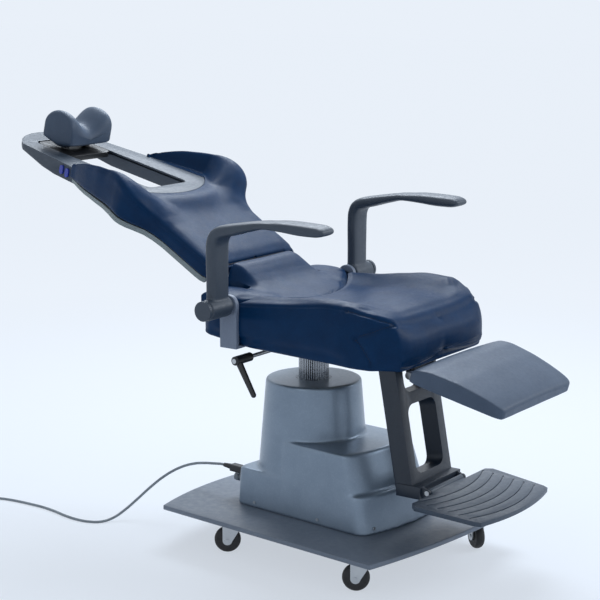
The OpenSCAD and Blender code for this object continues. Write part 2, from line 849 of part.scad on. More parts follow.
module hinge_pin() { color(zinc) at_hinge() across(hinge_pin_r, 2 * arm_slot_y + arm_slot_t); }

// Seat cushion: share of the length, of the half width, of the drop of its edge, of the rise of its
// underside,
// and of the hollow
seat_shares = [[0, 0.93, 0.23, 0.242, 0], [0.018, 0.975, 0.2, 0.235, 0], [0.05, 1, 0.18, 0.215, 0],
    [0.17, 1, 0.16, 0.15, 0],
    [0.265, 1, 0.134, 0.102, 0.2], [0.36, 1, 0.105, 0.088, 0.75], [0.446, 1, 0.083, 0.076, 1],
    [0.56, 1, 0.04, 0.06, 1],
    [0.68, 1, 0.003, 0.045, 1], [0.786, 1, 0.02, 0.025, 0.9], [0.866, 0.965, 0.1, 0.013, 0.6],
    [0.93, 0.865, 0.185, 0.006, 0.3], [0.962, 0.81, 0.24, 0.002, 0.12], [0.98, 0.785, 0.4, 0, 0.05],
    [1, 0.77, 0.9, 0.03, 0]];
seat_t = seat_z - seat_low;
seat_l = seat_rear + seat_front;
module seat_plan(inset) {
    polygon([for (p = [[-seat_rear + inset, 1, 0], [seat_front - corner_l - inset, 1, 0],
    [seat_front - pocket_front - inset, 1, 1],
            [seat_front - pocket_front - inset, -1, 1], [seat_front - corner_l - inset, -1, 0],
            [-seat_rear + inset, -1, 0]])
        [p[0], p[1] * (seat_half - inset - p[2] * corner_w)]]);
}
// Vertical slots at the rear, where the hinge arms stand
module arm_slots(slack) {
    both_sides() block([-seat_rear - over, arm_slot_y - arm_slot_t / 2 - slack, seat_low - over],
        [arm_slot_x, arm_slot_y + arm_slot_t / 2 + slack, saddle_z + over]);
}
function seam_x(y) = seam_mid - (seam_mid - seam_side) * pow(y / seat_half, 2);
module seat_cushion() {
    color(navy) at_column() difference() {
        pad([for (k = seat_shares) let (edge = seat_z - k[2] * seat_t)
            pad_ring(k[1] * seat_half, function(u) edge - scoop * k[4]
            * (1 - smooth((abs(u) - hollow_from) / hollow_to))
                - edge_roll * pow(abs(u), 10), seat_low + k[3] * seat_t, pinch, seat_n,
                function(y, h) [k[0] * seat_l - seat_rear, y, h])], seat_n);
        translate([0, 0, seat_low - over]) linear_extrude(pocket_z - seat_low + over) seat_plan(skirt);
        translate([0, 0, recess_z]) linear_extrude(seat_z) polygon(concat(
            [for (i = [-8:8]) let (y = i * (seat_half + over) / 8) [seam_x(y), y]],
            [[-seat_rear - over, seat_half + over], [-seat_rear - over, -seat_half - over]]));
        arm_slots(arm_slot_gap);
        both_sides() block([-arm_pivot_x - bracket_w / 2 - over, seat_half - skirt - over, seat_low - over],
            [-arm_pivot_x + bracket_w / 2 + over, seat_half + over, frame_z + gap]);
    }
}
module seat_board() {
    color(dark_grey) at_column() translate([0, 0, board_z]) linear_extrude(board_t) difference() {
        seat_plan(skirt + board_gap);
        both_sides() translate([-seat_rear, arm_slot_y - arm_slot_t / 2 - arm_slot_gap])
            square([seat_rear + arm_slot_x, arm_slot_t + 2 * arm_slot_gap]);
    }
}
// Raised rear pad: share of its length, and of its rise in the middle and at its sides above its underside
saddle_shares = [[0, 0.9, 0.32], [0.03, 1, 0.37], [0.12, 0.95, 0.39], [0.22, 0.8, 0.4], [0.32, 0.62, 0.39],
    [0.42, 0.46, 0.36],
    [0.52, 0.34, 0.32], [0.62, 0.25, 0.28], [0.72, 0.185, 0.24], [0.82, 0.14, 0.2], [0.91, 0.1, 0.15],
    [0.97, 0.07, 0.08]];
saddle_n = 18;
module saddle_pad() {
    low = recess_z + gap;
    rear = seat_rear - saddle_gap;
    long = seam_mid + rear;
    color(navy) at_column() difference() {
        pad([for (k = saddle_shares) let (x = k[0] * long - rear,
            half = min(seat_half - gap, seat_half * sqrt((seam_mid - x) / (seam_mid - seam_side))))
            pad_ring(half, function(u) low + (saddle_z - low) * (k[2] + (k[1] - k[2])
                * (1 - smooth((abs(u) * half - tongue_half) / tongue_fall)))
                * (1 - saddle_roll * pow(abs(u), 8)),
                low, pinch, saddle_n, function(y, h) [x, y, h])], saddle_n);
        arm_slots(arm_slot_gap);
    }
}

// Armrests: brackets and pins on the seat, and an arm that swings up about the pin
module at_arm_pivot() { at_column() translate([-arm_pivot_x, 0, arm_pivot_z]) children(); }
module arm_brackets() {
    low = frame_z - flange_t;
    color(light_grey) difference() {
        union() {
            at_column() both_sides() translate([-arm_pivot_x, bracket_y, 0])
                side_plate(concat([[-bracket_w / 2, low],
                [bracket_w / 2, low]], arc([0, arm_pivot_z], barrel_r, 0, 180, 24)), bracket_t);
            at_column() both_sides() block([-arm_pivot_x - bracket_w / 2, bracket_y - flange_in, low],
                [-arm_pivot_x + bracket_w / 2, bracket_y, frame_z]);
        }
        at_arm_pivot() across(pin_r, 2 * bracket_y + 2 * bracket_t);
    }
}
module arm_pins() {
    inner = bracket_y - bracket_t / 2;
    color(zinc) at_arm_pivot() both_sides() {
        translate([0, (inner + barrel_out + cap_l) / 2, 0]) across(pin_r, barrel_out + cap_l - inner);
        translate([0, (inner + bracket_t + barrel_in - gap) / 2, 0])
            across(collar_r, barrel_in - gap - inner - bracket_t);
        translate([0, barrel_out + gap + cap_l / 2, 0]) across(barrel_r - cap_round, cap_l);
    }
}
// Share of the reach, of the height, of the thickness and of the width along an armrest, from its pivot to
// its tip
arm_shares = [[0, 0.05, 1.07, 0.97], [0, 0.28, 1.07, 0.97], [0, 0.54, 1.07, 1], [0.003, 0.68, 1.1, 1],
    [0.025, 0.777, 1.12, 1],
    [0.075, 0.83, 1.07, 1], [0.17, 0.861, 1, 1], [0.33, 0.912, 0.8, 0.98], [0.475, 0.946, 0.65, 0.97],
    [0.616, 0.95, 0.84, 1],
    [0.8, 0.94, 1, 1], [0.92, 0.936, 0.94, 0.97], [0.975, 0.932, 0.66, 0.88], [1, 0.93, 0.3, 0.66]];
arm_path = [for (k = arm_shares) [k[0] * (tip_x + arm_pivot_x) - arm_pivot_x,
    arm_pivot_z + k[1] * (arm_z - arm_pivot_z)]];
module armrest(side) {
    color(arm_grey) at_column() difference() {
        union() {
            skin([for (i = [0:len(arm_path) - 1]) let (d = heading(arm_path, i), k = arm_shares[i])
                [for (p = rounded(k[2] * arm_t, k[3] * arm_w, min(arm_round, k[2] * arm_t / 2 - 1)))
                    [arm_path[i][0] + p[0] * d[1], side * arm_y + p[1], arm_path[i][1] - p[0] * d[0]]]]);
            translate([-arm_pivot_x, side * (barrel_in + barrel_out) / 2, arm_pivot_z])
                across(barrel_r, barrel_out - barrel_in);
        }
        translate([-arm_pivot_x, side * arm_y, arm_pivot_z]) across(pin_r + run, 2 * arm_w);
    }
}

// Leg rest: a leaning frame with two openings, a fold-up footplate and a tilting calf pad
module in_leg() { at_column() translate([leg_rear, 0, leg_z]) rotate([0, -leg_lean, 0]) children(); }
module leg_window(from, h) {
    in_leg() translate([-over, 0, from + h / 2]) rotate([90, 0, 90]) linear_extrude(post_d + 2 * over)
        polygon(rounded(2 * (leg_half - post_w), h, open_r));
}
module leg_frame() {
    low = frame_z - leg_top_t;
    color(dark_grey) difference() {
        union() {
            intersection() {
                in_leg() block([0, -leg_half, -post_d], [post_d, leg_half, frame_z]);
                at_column() block([0, -leg_half - over, leg_z], [seat_front, leg_half + over, low + over]);
            }
            at_column() block([cross_front_x - cross_front_w / 2, -leg_half, low],
                [rail_front, leg_half, frame_z]);
            at_column() block([leg_rear, -ledge_half, leg_z],
                [leg_rear + foot_ledge, ledge_half, leg_z + ledge_h]);
            at_column() both_sides() {
                translate([0, foot_ear_y, 0]) side_plate(concat([[leg_rear + foot_ledge - over, leg_z]],
                    arc([foot_x, foot_hinge_z], foot_knuckle_r, -60, 110, 12),
                    [[leg_rear + foot_ledge - over, leg_z + ledge_h]]), ear_t);
                translate([0, calf_ear_y, 0])
                    side_plate(concat(arc([calf_hinge_x, calf_hinge_z], calf_ear_r, -140, 20, 12),
                    [[calf_hinge_x, low + over], [calf_hinge_x - calf_ear_w, low + over]]), ear_t);
            }
        }
        leg_window(lower_open_z, lower_open_h);
        difference() {
            leg_window(upper_open_z, upper_open_h);
            at_column() both_sides() translate([0, calf_ear_y, 0]) side_plate(concat(
                arc([calf_hinge_x, calf_hinge_z], calf_ear_r, -140, 20, 12),
                [[calf_hinge_x, low + over], [calf_hinge_x - calf_ear_w, low + over]]), ear_t);
        }
        at_column() translate([foot_x, 0, foot_hinge_z]) across(foot_pin_r, 2 * leg_half + 2 * foot_pin_r);
        at_column() translate([calf_hinge_x, 0, calf_hinge_z]) across(calf_pin_r, 2 * leg_half);
    }
}
module foot_pin() {
    half = foot_ear_y + ear_t / 2;
    color(zinc) at_column() translate([foot_x, 0, foot_hinge_z]) {
        across(foot_pin_r, 2 * half);
        both_sides() translate([0, half + screw_t / 2, 0]) across(foot_knuckle_r - screw_t, screw_t);
    }
}
module calf_pin() {
    half = cheek_y + cheek_t / 2 + slide_gap;
    color(zinc) at_column() translate([calf_hinge_x, 0, calf_hinge_z]) {
        across(calf_pin_r, 2 * half);
        both_sides() translate([0, half + nut_t / 4, 0]) across(nut_r, nut_t / 2);
    }
}
module footplate() {
    rear = foot_x_in;
    front = foot_l + foot_x_in;
    color(plate_grey) at_column() translate([foot_x, 0, foot_hinge_z]) rotate([0, foot_slope, 0])
        difference() {
        union() {
            translate([0, 0, foot_rise - foot_t]) linear_extrude(foot_t) polygon(concat(
                [[rear + foot_round, -foot_half], [front - foot_bow - foot_round, foot_taper - foot_half]],
                [for (i = [-8:8]) let (u = i / 8) [front - foot_bow * u * u,
                u * (foot_half - foot_taper - foot_round / 2)]],
                [[front - foot_bow - foot_round, foot_half - foot_taper], [rear + foot_round, foot_half],
                [rear, foot_half - foot_round],
                [rear, foot_round - foot_half]]));
            across(foot_knuckle_r, 2 * knuckle_half);
            block([0, -knuckle_half, foot_rise - foot_t], [rear + over, knuckle_half, foot_rise]);
        }
        across(foot_pin_r + run, 2 * foot_half);
        for (i = [1:grooves]) intersection() {
            translate([rear + i * foot_l / (grooves + 1) + groove_out - groove_r, 0, foot_rise - groove_d])
                difference() {
                cylinder(r = groove_r + groove_w / 2, h = foot_t, $fn = 160);
                translate([0, 0, -over]) cylinder(r = groove_r - groove_w / 2, h = foot_t + 2 * over,
                    $fn = 160);
            }
            block([rear, -groove_half, 0], [front, groove_half, foot_t]);
        }
    }
}
module in_calf() { at_column() translate([calf_hinge_x, 0, calf_hinge_z]) rotate([0, calf_slope, 0])
    children(); }
module calf_bracket() {
    far = calf_rear + cheek_l;
    color(light_grey) in_calf() difference() {
        union() {
            both_sides() translate([0, cheek_y, 0]) side_plate(concat(arc([0, 0], calf_ear_r, 100, 280, 16),
                [[calf_rear, calf_low - cheek_h], [far - cheek_h, calf_low - cheek_h],
                [far, calf_low - cheek_t],
                [far, calf_low], [calf_rear - cheek_t, calf_low]]), cheek_t);
            block([calf_rear, -cheek_y, calf_low - cheek_t], [far, cheek_y, calf_low]);
        }
        across(calf_pin_r + run, 2 * leg_half);
        translate([calf_rear + cheek_l / 2, 0, calf_low - cheek_h / 2]) rotate([90, 0, 0])
            linear_extrude(2 * leg_half, center = true)
                polygon(rounded(cheek_l / 2, cheek_slot, cheek_slot / 2 - run));
    }
}
// Calf pad: share of its length, of its half width and of its thickness
calf_shares = [[0, 0.9, 0.62], [0.03, 0.97, 0.86], [0.1, 1, 0.98], [0.25, 0.985, 1.06],
    [0.45, 0.955, 1.05], [0.65, 0.925, 0.98],
    [0.82, 0.895, 0.88], [0.92, 0.87, 0.78], [0.97, 0.83, 0.66], [1, 0.76, 0.45]];
module calf_pad() {
    color(pad_grey) in_calf() pad([for (k = calf_shares)
        pad_ring(k[1] * calf_half, function(u) calf_low + gap + k[2]
        * (calf_t - calf_dome * pow(abs(u), 2) - edge_roll * pow(abs(u), 12)),
            calf_low + gap, pinch, calf_n, function(y, h) [calf_rear - calf_ahead + k[0] * calf_l, y, h])],
            calf_n);
}

// Back: a slab along a bent line, measured by s from its lower end and by h out from its front face
function back_slope(s) = low_slope - bend * min(1, max(0, (s - arc_start) / arc_l));
function out_of(a) = [sin(a), cos(a)];
function up_of(a) = [-cos(a), sin(a)];
back_foot = [back_x, back_z];
bend_at = back_foot + low_back * up_of(low_slope);
function back_line(s) = s <= arc_start ? back_foot + s * up_of(low_slope)
    : s >= arc_start + arc_l ? bend_at + (bend_tangent + s - arc_start - arc_l) * up_of(track_slope)
    : back_foot + arc_start * up_of(low_slope) + bend_r * (out_of(back_slope(s)) - out_of(low_slope));
function back_at(s, h) = back_line(s) + h * out_of(back_slope(s));
// Share of the length, flare from the lower width towards the wings, of the wings' height, and of the
// thickness
back_shares = [[0, -0.16, 0, 1], [0.02, -0.06, 0, 1], [0.05, -0.03, 0, 1], [0.165, 0, 0, 1],
    [0.28, 0.03, 0, 1],
    [0.34, 0.12, 0.06, 1], [0.386, 0.27, 0.2, 1], [0.424, 0.53, 0.37, 1], [0.457, 0.79, 0.55, 0.99],
    [0.49, 0.95, 0.7, 0.97],
    [0.522, 1, 0.83, 0.95], [0.56, 0.94, 0.95, 0.93], [0.6, 0.83, 1, 0.91], [0.665, 0.67, 0.97, 0.84],
    [0.733, 0.52, 0.9, 0.79],
    [0.78, 0.39, 0.82, 0.76], [0.834, 0.24, 0.72, 0.74], [0.9, 0.01, 0.56, 0.69], [0.954, -0.22, 0.42, 0.66],
    [0.985, -0.31, 0.3, 0.63], [1, -0.42, 0.12, 0.6]];
back_n = 16;
function back_ring(k, inset, stretch, high, low) = let (s = k[0] * cushion_l + stretch * (2 * k[0] - 1),
    half = back_half + k[1] * (wing_half - back_half) - inset)
    [for (p = [[half, high], [-half, high], [-half, low], [half, low]]) let (q = back_at(s, p[1])) [q[0],
    p[0], q[1]]];
module back_hollows(reach) {
    at_hinge() across(hinge_r + gap, 2 * (hinge_half + hinge_side_gap));
    at_hinge() both_sides() translate([0, arm_slot_y, 0])
        across(hinge_head_r + reach, arm_slot_t + 2 * arm_slot_gap);
    on_track() translate([0, 0, -wing_half]) linear_extrude(2 * wing_half) track_outline(track_gap);
}
module back_cushion() {
    color(navy) difference() {
        at_column() pad([for (i = [len(back_shares) - 1:-1:0]) let (k = back_shares[i])
            pad_ring(back_half + k[1] * (wing_half - back_half), function(u) wing_h * k[2]
            * smooth((abs(u) - wing_from) / wing_rise)
                - edge_roll * pow(abs(u), 12) + crown * (1 - u * u), -k[3] * (back_t - shell_h), pinch,
                back_n,
                function(y, h) let (q = back_at(k[0] * cushion_l, h)) [q[0], y, q[1]])], back_n);
        back_hollows(arm_slot_gap);
        back_bars(gap);
    }
}
module back_shell() {
    color(light_grey) difference() {
        at_column() skin([for (i = [len(back_shares) - 1:-1:0]) let (k = back_shares[i])
            back_ring(k, shell_inset, 0, -k[3] * (back_t - shell_h) - gap, -k[3] * back_t)]);
        at_column() skin([for (i = [len(back_shares) - 1:-1:0]) let (k = back_shares[i])
            back_ring(k, shell_inset + shell_rim, over, 0, shell_floor - k[3] * back_t)]);
        back_hollows(shell_reach);
    }
}
// Flat bars from the hinge tube to the track
module back_bars(slack) {
    n = 12;
    l = back_rail_l + slack - bar_from;
    at_column() both_sides() translate([0, back_rail_y, 0]) side_plate(concat(
        [for (i = [0:n]) back_at(bar_from + i * l / n, slack - bar_h)],
        [for (i = [n:-1:0]) back_at(bar_from + i * l / n, -bar_h - back_rail_t - slack)]),
        back_rail_w + 2 * slack);
}
module back_frame() {
    color(zinc) difference() {
        union() {
            at_hinge() across(hinge_r, 2 * hinge_half);
            back_bars(0);
        }
        at_hinge() across(hinge_r - hinge_wall, 2 * (hinge_half - hinge_bush));
        at_hinge() across(hinge_pin_r + run, 2 * hinge_half + 2 * over);
    }
}

// Headrest track: a long flat frame with a slot, in which the headrest's carriage slides
module on_track() { at_column() translate([bend_at[0], 0, bend_at[1]]) rotate([0, track_slope, 0])
    children(); }
track_fall = (track_wide - track_narrow) / (track_far - track_near);
function track_side(x) = track_wide - track_fall * (-track_near - x);
module track_outline(margin) {
    intersection() {
        polygon([[end_bow + track_near, track_side(end_bow + track_near) + margin],
        [-2 * track_far, track_side(-2 * track_far) + margin],
            [-2 * track_far, -track_side(-2 * track_far) - margin],
            [end_bow + track_near, -track_side(end_bow + track_near) - margin]]);
        union() {
            translate([tip_r - track_l, 0]) circle(r = tip_r + margin, $fn = 128);
            translate([tip_r - track_l, -track_l]) square(2 * track_l);
        }
        union() {
            translate([end_bow - end_r, 0]) circle(r = end_r + margin, $fn = 128);
            translate([end_bow - end_r - 2 * track_l, -track_l]) square(2 * track_l);
        }
    }
}
// Place of a button: on the right rail's side, with -Y pointing out of it
module at_button(i) {
    on_track() translate([button_x[i], -track_side(button_x[i]), -button_drop[i]])
    rotate([0, 0, -atan(track_fall)]) children();
}
module pill(grow, from, to) {
    rotate([90, 0, 0]) translate([0, 0, -to]) linear_extrude(to - from)
        polygon(rounded(button_w + 2 * grow, button_l + 2 * grow, button_w / 2 + grow - run));
}
// Share of the track's length and of its depth, along its underside up to the tip
track_shares = [[0.59, 1], [0.69, 0.87], [0.845, 0.45], [0.95, 0.17], [1.01, 0.04]];
module track_frame() {
    color(dark_grey) difference() {
        on_track() intersection() {
            translate([0, 0, -track_t]) linear_extrude(track_t) track_outline(0);
            side_plate(concat([[end_bow + over, over], [end_bow + over, -track_t]],
                [for (k = track_shares) [-k[0] * track_l, -k[1] * track_t]],
                [[-track_l * track_shares[4][0], over]]),
                2 * track_wide + 2 * over);
        }
        on_track() translate([(slot_low + slot_high) / 2, 0, -2 * track_t]) linear_extrude(3 * track_t)
            polygon(rounded(slot_low - slot_high, 2 * slot_half, slot_round));
        on_track() block([slot_high, -slot_half - lip_w, -lip_z - lip_t - slide_gap],
        [slot_low, slot_half + lip_w, slide_gap - lip_z]);
        for (i = [0:1]) at_button(i) pill(gap, -over - button_out, button_stem + button_press + over);
    }
}
module button(i) { color(blue) at_button(i) pill(0, -button_out, button_stem); }
module at_tilt() { on_track() translate([tilt_x, 0, tilt_z]) children(); }
module headrest_carriage() {
    inner = slot_half - slide_gap;
    color(black) difference() {
        union() {
            on_track() translate([carriage_low - carriage_l / 2, 0, -carriage_t]) linear_extrude(carriage_t)
                polygon(rounded(carriage_l, 2 * inner, slot_round));
            on_track() block([carriage_low - carriage_l + slot_round, -slot_half - lip_w + slide_gap,
            -lip_z - lip_t],
                [carriage_low - slot_round, slot_half + lip_w - slide_gap, -lip_z]);
            both_sides() at_tilt() translate([0, tilt_ear_y, 0]) {
                across(tilt_ear_r, tilt_ear_w);
                block([-tilt_ear_r, -tilt_ear_w / 2, -tilt_z - over], [tilt_ear_r, tilt_ear_w / 2, 0]);
            }
        }
        at_tilt() across(tilt_r + run, 4 * tilt_ear_y);
    }
}
module headrest_bracket() {
    lug = tilt_ear_y - tilt_ear_w / 2 - hinge_side_gap;
    color(light_grey) at_tilt() {
        across(tilt_r, 2 * tilt_ear_y + tilt_ear_w + 2 * tilt_r);
        across(tilt_ear_r - over, 2 * lug);
        block([-tilt_ear_r + over, -lug, 0], [tilt_ear_r - over, lug, head_low - tilt_z]);
        block([-head_plate_l / 2, -head_plate_w / 2, head_low - tilt_z - head_plate_t],
            [head_plate_l / 2, head_plate_w / 2,
            head_low - tilt_z]);
    }
}
// Headrest: share of its length, of its half width and of its height
head_shares = [[0, 0.86, 0.6], [0.05, 0.94, 0.8], [0.15, 0.985, 0.93], [0.3, 1, 0.99], [0.5, 1, 1],
    [0.7, 1, 0.99], [0.85, 0.985, 0.93],
    [0.95, 0.94, 0.8], [1, 0.86, 0.6]];
head_n = 16;
module headrest_cushion() {
    low = head_low + gap;
    color(pad_grey) at_tilt() pad([for (k = head_shares)
        pad_ring(k[1] * head_w / 2, function(u) low - tilt_z + k[2]
        * (head_h - low - valley * (1 - smooth(abs(u) / lobe_at)))
            - edge_roll * pow(abs(u), 16), low - tilt_z, pinch, head_n,
            function(y, h) [(k[0] - 0.5) * head_l, y, h])], head_n);
}

base_plate();
castor_plates();
castor_fork(0);  // castor_fork_rear_right
castor_fork(1);  // castor_fork_rear_left
castor_fork(2);  // castor_fork_front_right
castor_fork(3);  // castor_fork_front_left
castor_wheel(0);  // castor_wheel_rear_right
castor_wheel(1);  // castor_wheel_rear_left
castor_wheel(2);  // castor_wheel_front_right
castor_wheel(3);  // castor_wheel_front_left
base_housing();
housing_screws();
column_tube();
column_bolts();
column_seal();
upper_bush();
lift_actuator();
control_box();
power_inlet();
accessory_socket();
cord_connector();
strain_relief();
power_cord();
cord_coil();
coil_tie();
mains_plug();
lift_ram();
keyed_bush();
actuator_rod();
thrust_bearing();
swivel_hub();
seat_frame();
hinge_arms();
recline_motor();
hinge_pin();
seat_board();
seat_cushion();
saddle_pad();
arm_brackets();
arm_pins();
leg_frame();
foot_pin();
calf_pin();
clamp_shaft();
clamp_lever();
lever_cap();
back_frame();
back_shell();
back_cushion();
track_frame();
button(0);  // button_upper
button(1);  // button_lower
headrest_carriage();
headrest_bracket();
headrest_cushion();
armrest(-1);  // armrest_right
armrest(1);  // armrest_left
calf_bracket();
calf_pad();
footplate();
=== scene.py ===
"""Ophthalmic examination chair: upholstery, mouldings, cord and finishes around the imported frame.

Lengths are in metres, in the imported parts' frame: X towards the sitter's feet, Y to the sitter's left, Z up.
Each sub-assembly is a class, and each new piece rides on the body that it belongs to.
"""

from __future__ import annotations

import json
import logging
import math
from dataclasses import dataclass
from enum import Enum
from typing import Callable, Sequence

import bmesh
import bpy
import numpy as np
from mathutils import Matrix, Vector

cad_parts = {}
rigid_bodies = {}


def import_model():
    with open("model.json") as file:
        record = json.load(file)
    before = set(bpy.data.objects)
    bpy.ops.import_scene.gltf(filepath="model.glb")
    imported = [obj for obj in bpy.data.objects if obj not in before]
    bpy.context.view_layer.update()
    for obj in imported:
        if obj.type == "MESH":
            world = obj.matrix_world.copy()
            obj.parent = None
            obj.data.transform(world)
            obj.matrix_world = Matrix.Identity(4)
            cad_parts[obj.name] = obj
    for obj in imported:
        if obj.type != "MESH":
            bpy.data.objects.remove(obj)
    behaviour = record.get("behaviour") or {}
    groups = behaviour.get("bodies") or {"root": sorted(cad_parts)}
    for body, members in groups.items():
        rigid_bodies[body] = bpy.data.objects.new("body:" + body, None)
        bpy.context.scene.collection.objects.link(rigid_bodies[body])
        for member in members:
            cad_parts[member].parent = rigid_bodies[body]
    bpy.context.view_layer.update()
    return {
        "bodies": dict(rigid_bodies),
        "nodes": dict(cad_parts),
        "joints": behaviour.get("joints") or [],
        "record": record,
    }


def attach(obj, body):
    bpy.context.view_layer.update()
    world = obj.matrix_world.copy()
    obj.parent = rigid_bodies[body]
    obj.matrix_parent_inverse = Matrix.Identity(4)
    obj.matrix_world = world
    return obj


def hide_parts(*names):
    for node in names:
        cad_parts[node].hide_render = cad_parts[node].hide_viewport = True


LOG = logging.getLogger("chair")
Array, Mesh, Object, Socket = np.ndarray, bpy.types.Mesh, bpy.types.Object, bpy.types.NodeSocket
Point = tuple[float, float, float]
Colour = tuple[float, float, float]
Skin = tuple[Array, list]

MM = 0.001
COLUMN_X = 0.145
BASE_TURN = math.radians(-6.4)
MIRROR = np.array([1.0, -1.0, 1.0])
DOUBLED = 2e-5


class Grain(Enum):
    """How a finish's fine relief is made; fluted grain also paints shade into the flutes' grooves."""

    HIDE = "hide"
    MOULDED = "moulded"
    PAINT = "paint"
    BRUSHED = "brushed"
    RUBBER = "rubber"
    FLUTED = "fluted"
    WOOD = "wood"


def linear(colour: Colour) -> tuple[float, float, float, float]:
    """Screen colour from 0 to 255 as the linear colour that a shader takes.

    Args:
        colour: red, green and blue as they are seen on a screen.

    Returns:
        Linear red, green, blue and an alpha of one.
    """
    c = np.array(colour, float) / 255
    c = np.where(c <= 0.04045, c / 12.92, ((c + 0.055) / 1.055) ** 2.4)
    return (*(float(x) for x in c), 1.0)


class Tree:
    """The node tree of a material or a world, with short calls that add nodes and join them."""

    def __init__(self, owner: bpy.types.Material | bpy.types.World) -> None:
        """Finds the owner's shader and its object coordinates.

        Args:
            owner: a new material or world.
        """
        owner.use_nodes = True
        self.owner, self.nodes, self.links = owner, owner.node_tree.nodes, owner.node_tree.links
        self.shader = self.nodes.get("Principled BSDF") or self.nodes["Background"]
        self.place = self.nodes.new("ShaderNodeTexCoord").outputs["Object"]

    def add(self, kind: str, inputs: dict | None = None, **values: object) -> bpy.types.Node:
        """Adds a node, sets its properties and sets or links its inputs.

        Args:
            kind: the node's type name after "ShaderNode".
            inputs: values or output sockets, by input name or number.
            **values: the node's own properties.

        Returns:
            The new node.
        """
        node = self.nodes.new("ShaderNode" + kind)
        for key, value in values.items():
            setattr(node, key, value)
        for key, value in (inputs or {}).items():
            self.put(value, node.inputs[key])
        return node

    def put(self, value: object, socket: Socket) -> None:
        """Links a socket to an input, or sets the input to a plain value.

        Args:
            value: an output socket or a value.
            socket: the input.
        """
        if isinstance(value, Socket):
            self.links.new(value, socket)
        else:
            socket.default_value = value

    def noise(self, scale: float, detail: float = 3, place: Socket | None = None) -> Socket:
        """Even cloudy noise from 0 to 1.

        Args:
            scale: features a metre.
            detail: octaves.
            place: coordinates to read, the object's own if left out.

        Returns:
            The noise's output socket.
        """
        inputs = {"Vector": place or self.place, "Scale": scale, "Detail": detail, "Roughness": 0.55}
        return self.add("TexNoise", inputs).outputs["Fac"]

    def cells(self, scale: float) -> Socket:
        """Distance from the nearest of many scattered points, `scale` a metre, which gives pebbled grain."""
        inputs = {"Vector": self.place, "Scale": scale}
        return self.add("TexVoronoi", inputs, feature="F1").outputs["Distance"]

    def maths(self, kind: str, a: object, b: object = 0.0) -> Socket:
        """One sum, named as the Math node names it, on two values or sockets."""
        return self.add("Math", {0: a, 1: b}, operation=kind).outputs[0]

    def spread(
        self, value: Socket, low: float, high: float, start: float = 0.3, end: float = 0.7
    ) -> Socket:
        """Maps a value between start and end to between low and high.

        Args:
            value: what is mapped.
            low: result at start.
            high: result at end.
            start: value that gives low.
            end: value that gives high.

        Returns:
            The mapped socket.
        """
        inputs = {"Value": value, "From Min": start, "From Max": end, "To Min": low, "To Max": high}
        return self.add("MapRange", inputs).outputs["Result"]

    def mix(self, share: Socket, a: object, b: object) -> Socket:
        """Colour a where share is 0, and b where it is 1.

        Args:
            share: the mixing share.
            a: a colour or socket.
            b: a colour or socket.

        Returns:
            The mixed colour's socket.
        """
        node = self.add("Mix", data_type="RGBA")
        for key, value in (("Factor_Float", share), ("A_Color", a), ("B_Color", b)):
            self.put(value, next(s for s in node.inputs if s.identifier == key))
        return next(s for s in node.outputs if s.identifier == "Result_Color")

    def bump(self, layers: Sequence[tuple[Socket, float]]) -> None:
        """Stacks height layers on the shader's normal.

        Args:
            layers: pairs of a height socket and the relief in metres that its whole range stands for.
        """
        below = {}
        for height, depth in layers:
            node = self.add("Bump", {"Height": height, "Distance": depth, "Strength": 1.0, **below})
            below = {"Normal": node.outputs["Normal"]}
        self.put(below["Normal"], self.shader.inputs["Normal"])

    def stretched(self, scale: Point) -> Socket:
        """The object's coordinates, stretched along each axis."""
        return self.add("Mapping", {"Vector": self.place, "Scale": scale}).outputs[0]

    def flutes(self, count: float) -> Socket:
        """Waves round the column's vertical axis, from -1 to 1.

        Args:
            count: how many waves go round.

        Returns:
            The waves' socket.
        """
        parts = self.add("SeparateXYZ", {0: self.place})
        across = self.maths("SUBTRACT", parts.outputs["X"], COLUMN_X)
        angle = self.maths("ARCTAN2", parts.outputs["Y"], across)
        return self.maths("SINE", self.maths("MULTIPLY", angle, count))

    def seen(self) -> Socket:
        """Tells rays that show a thing, straight, mirrored or through glass, from those that light it.

        Returns:
            A socket that is 1 on rays that show and 0 on rays that light.
        """
        ray = self.add("LightPath").outputs
        bent = self.maths("MAXIMUM", ray["Is Glossy Ray"], ray["Is Transmission Ray"])
        return self.maths("MAXIMUM", ray["Is Camera Ray"], bent)


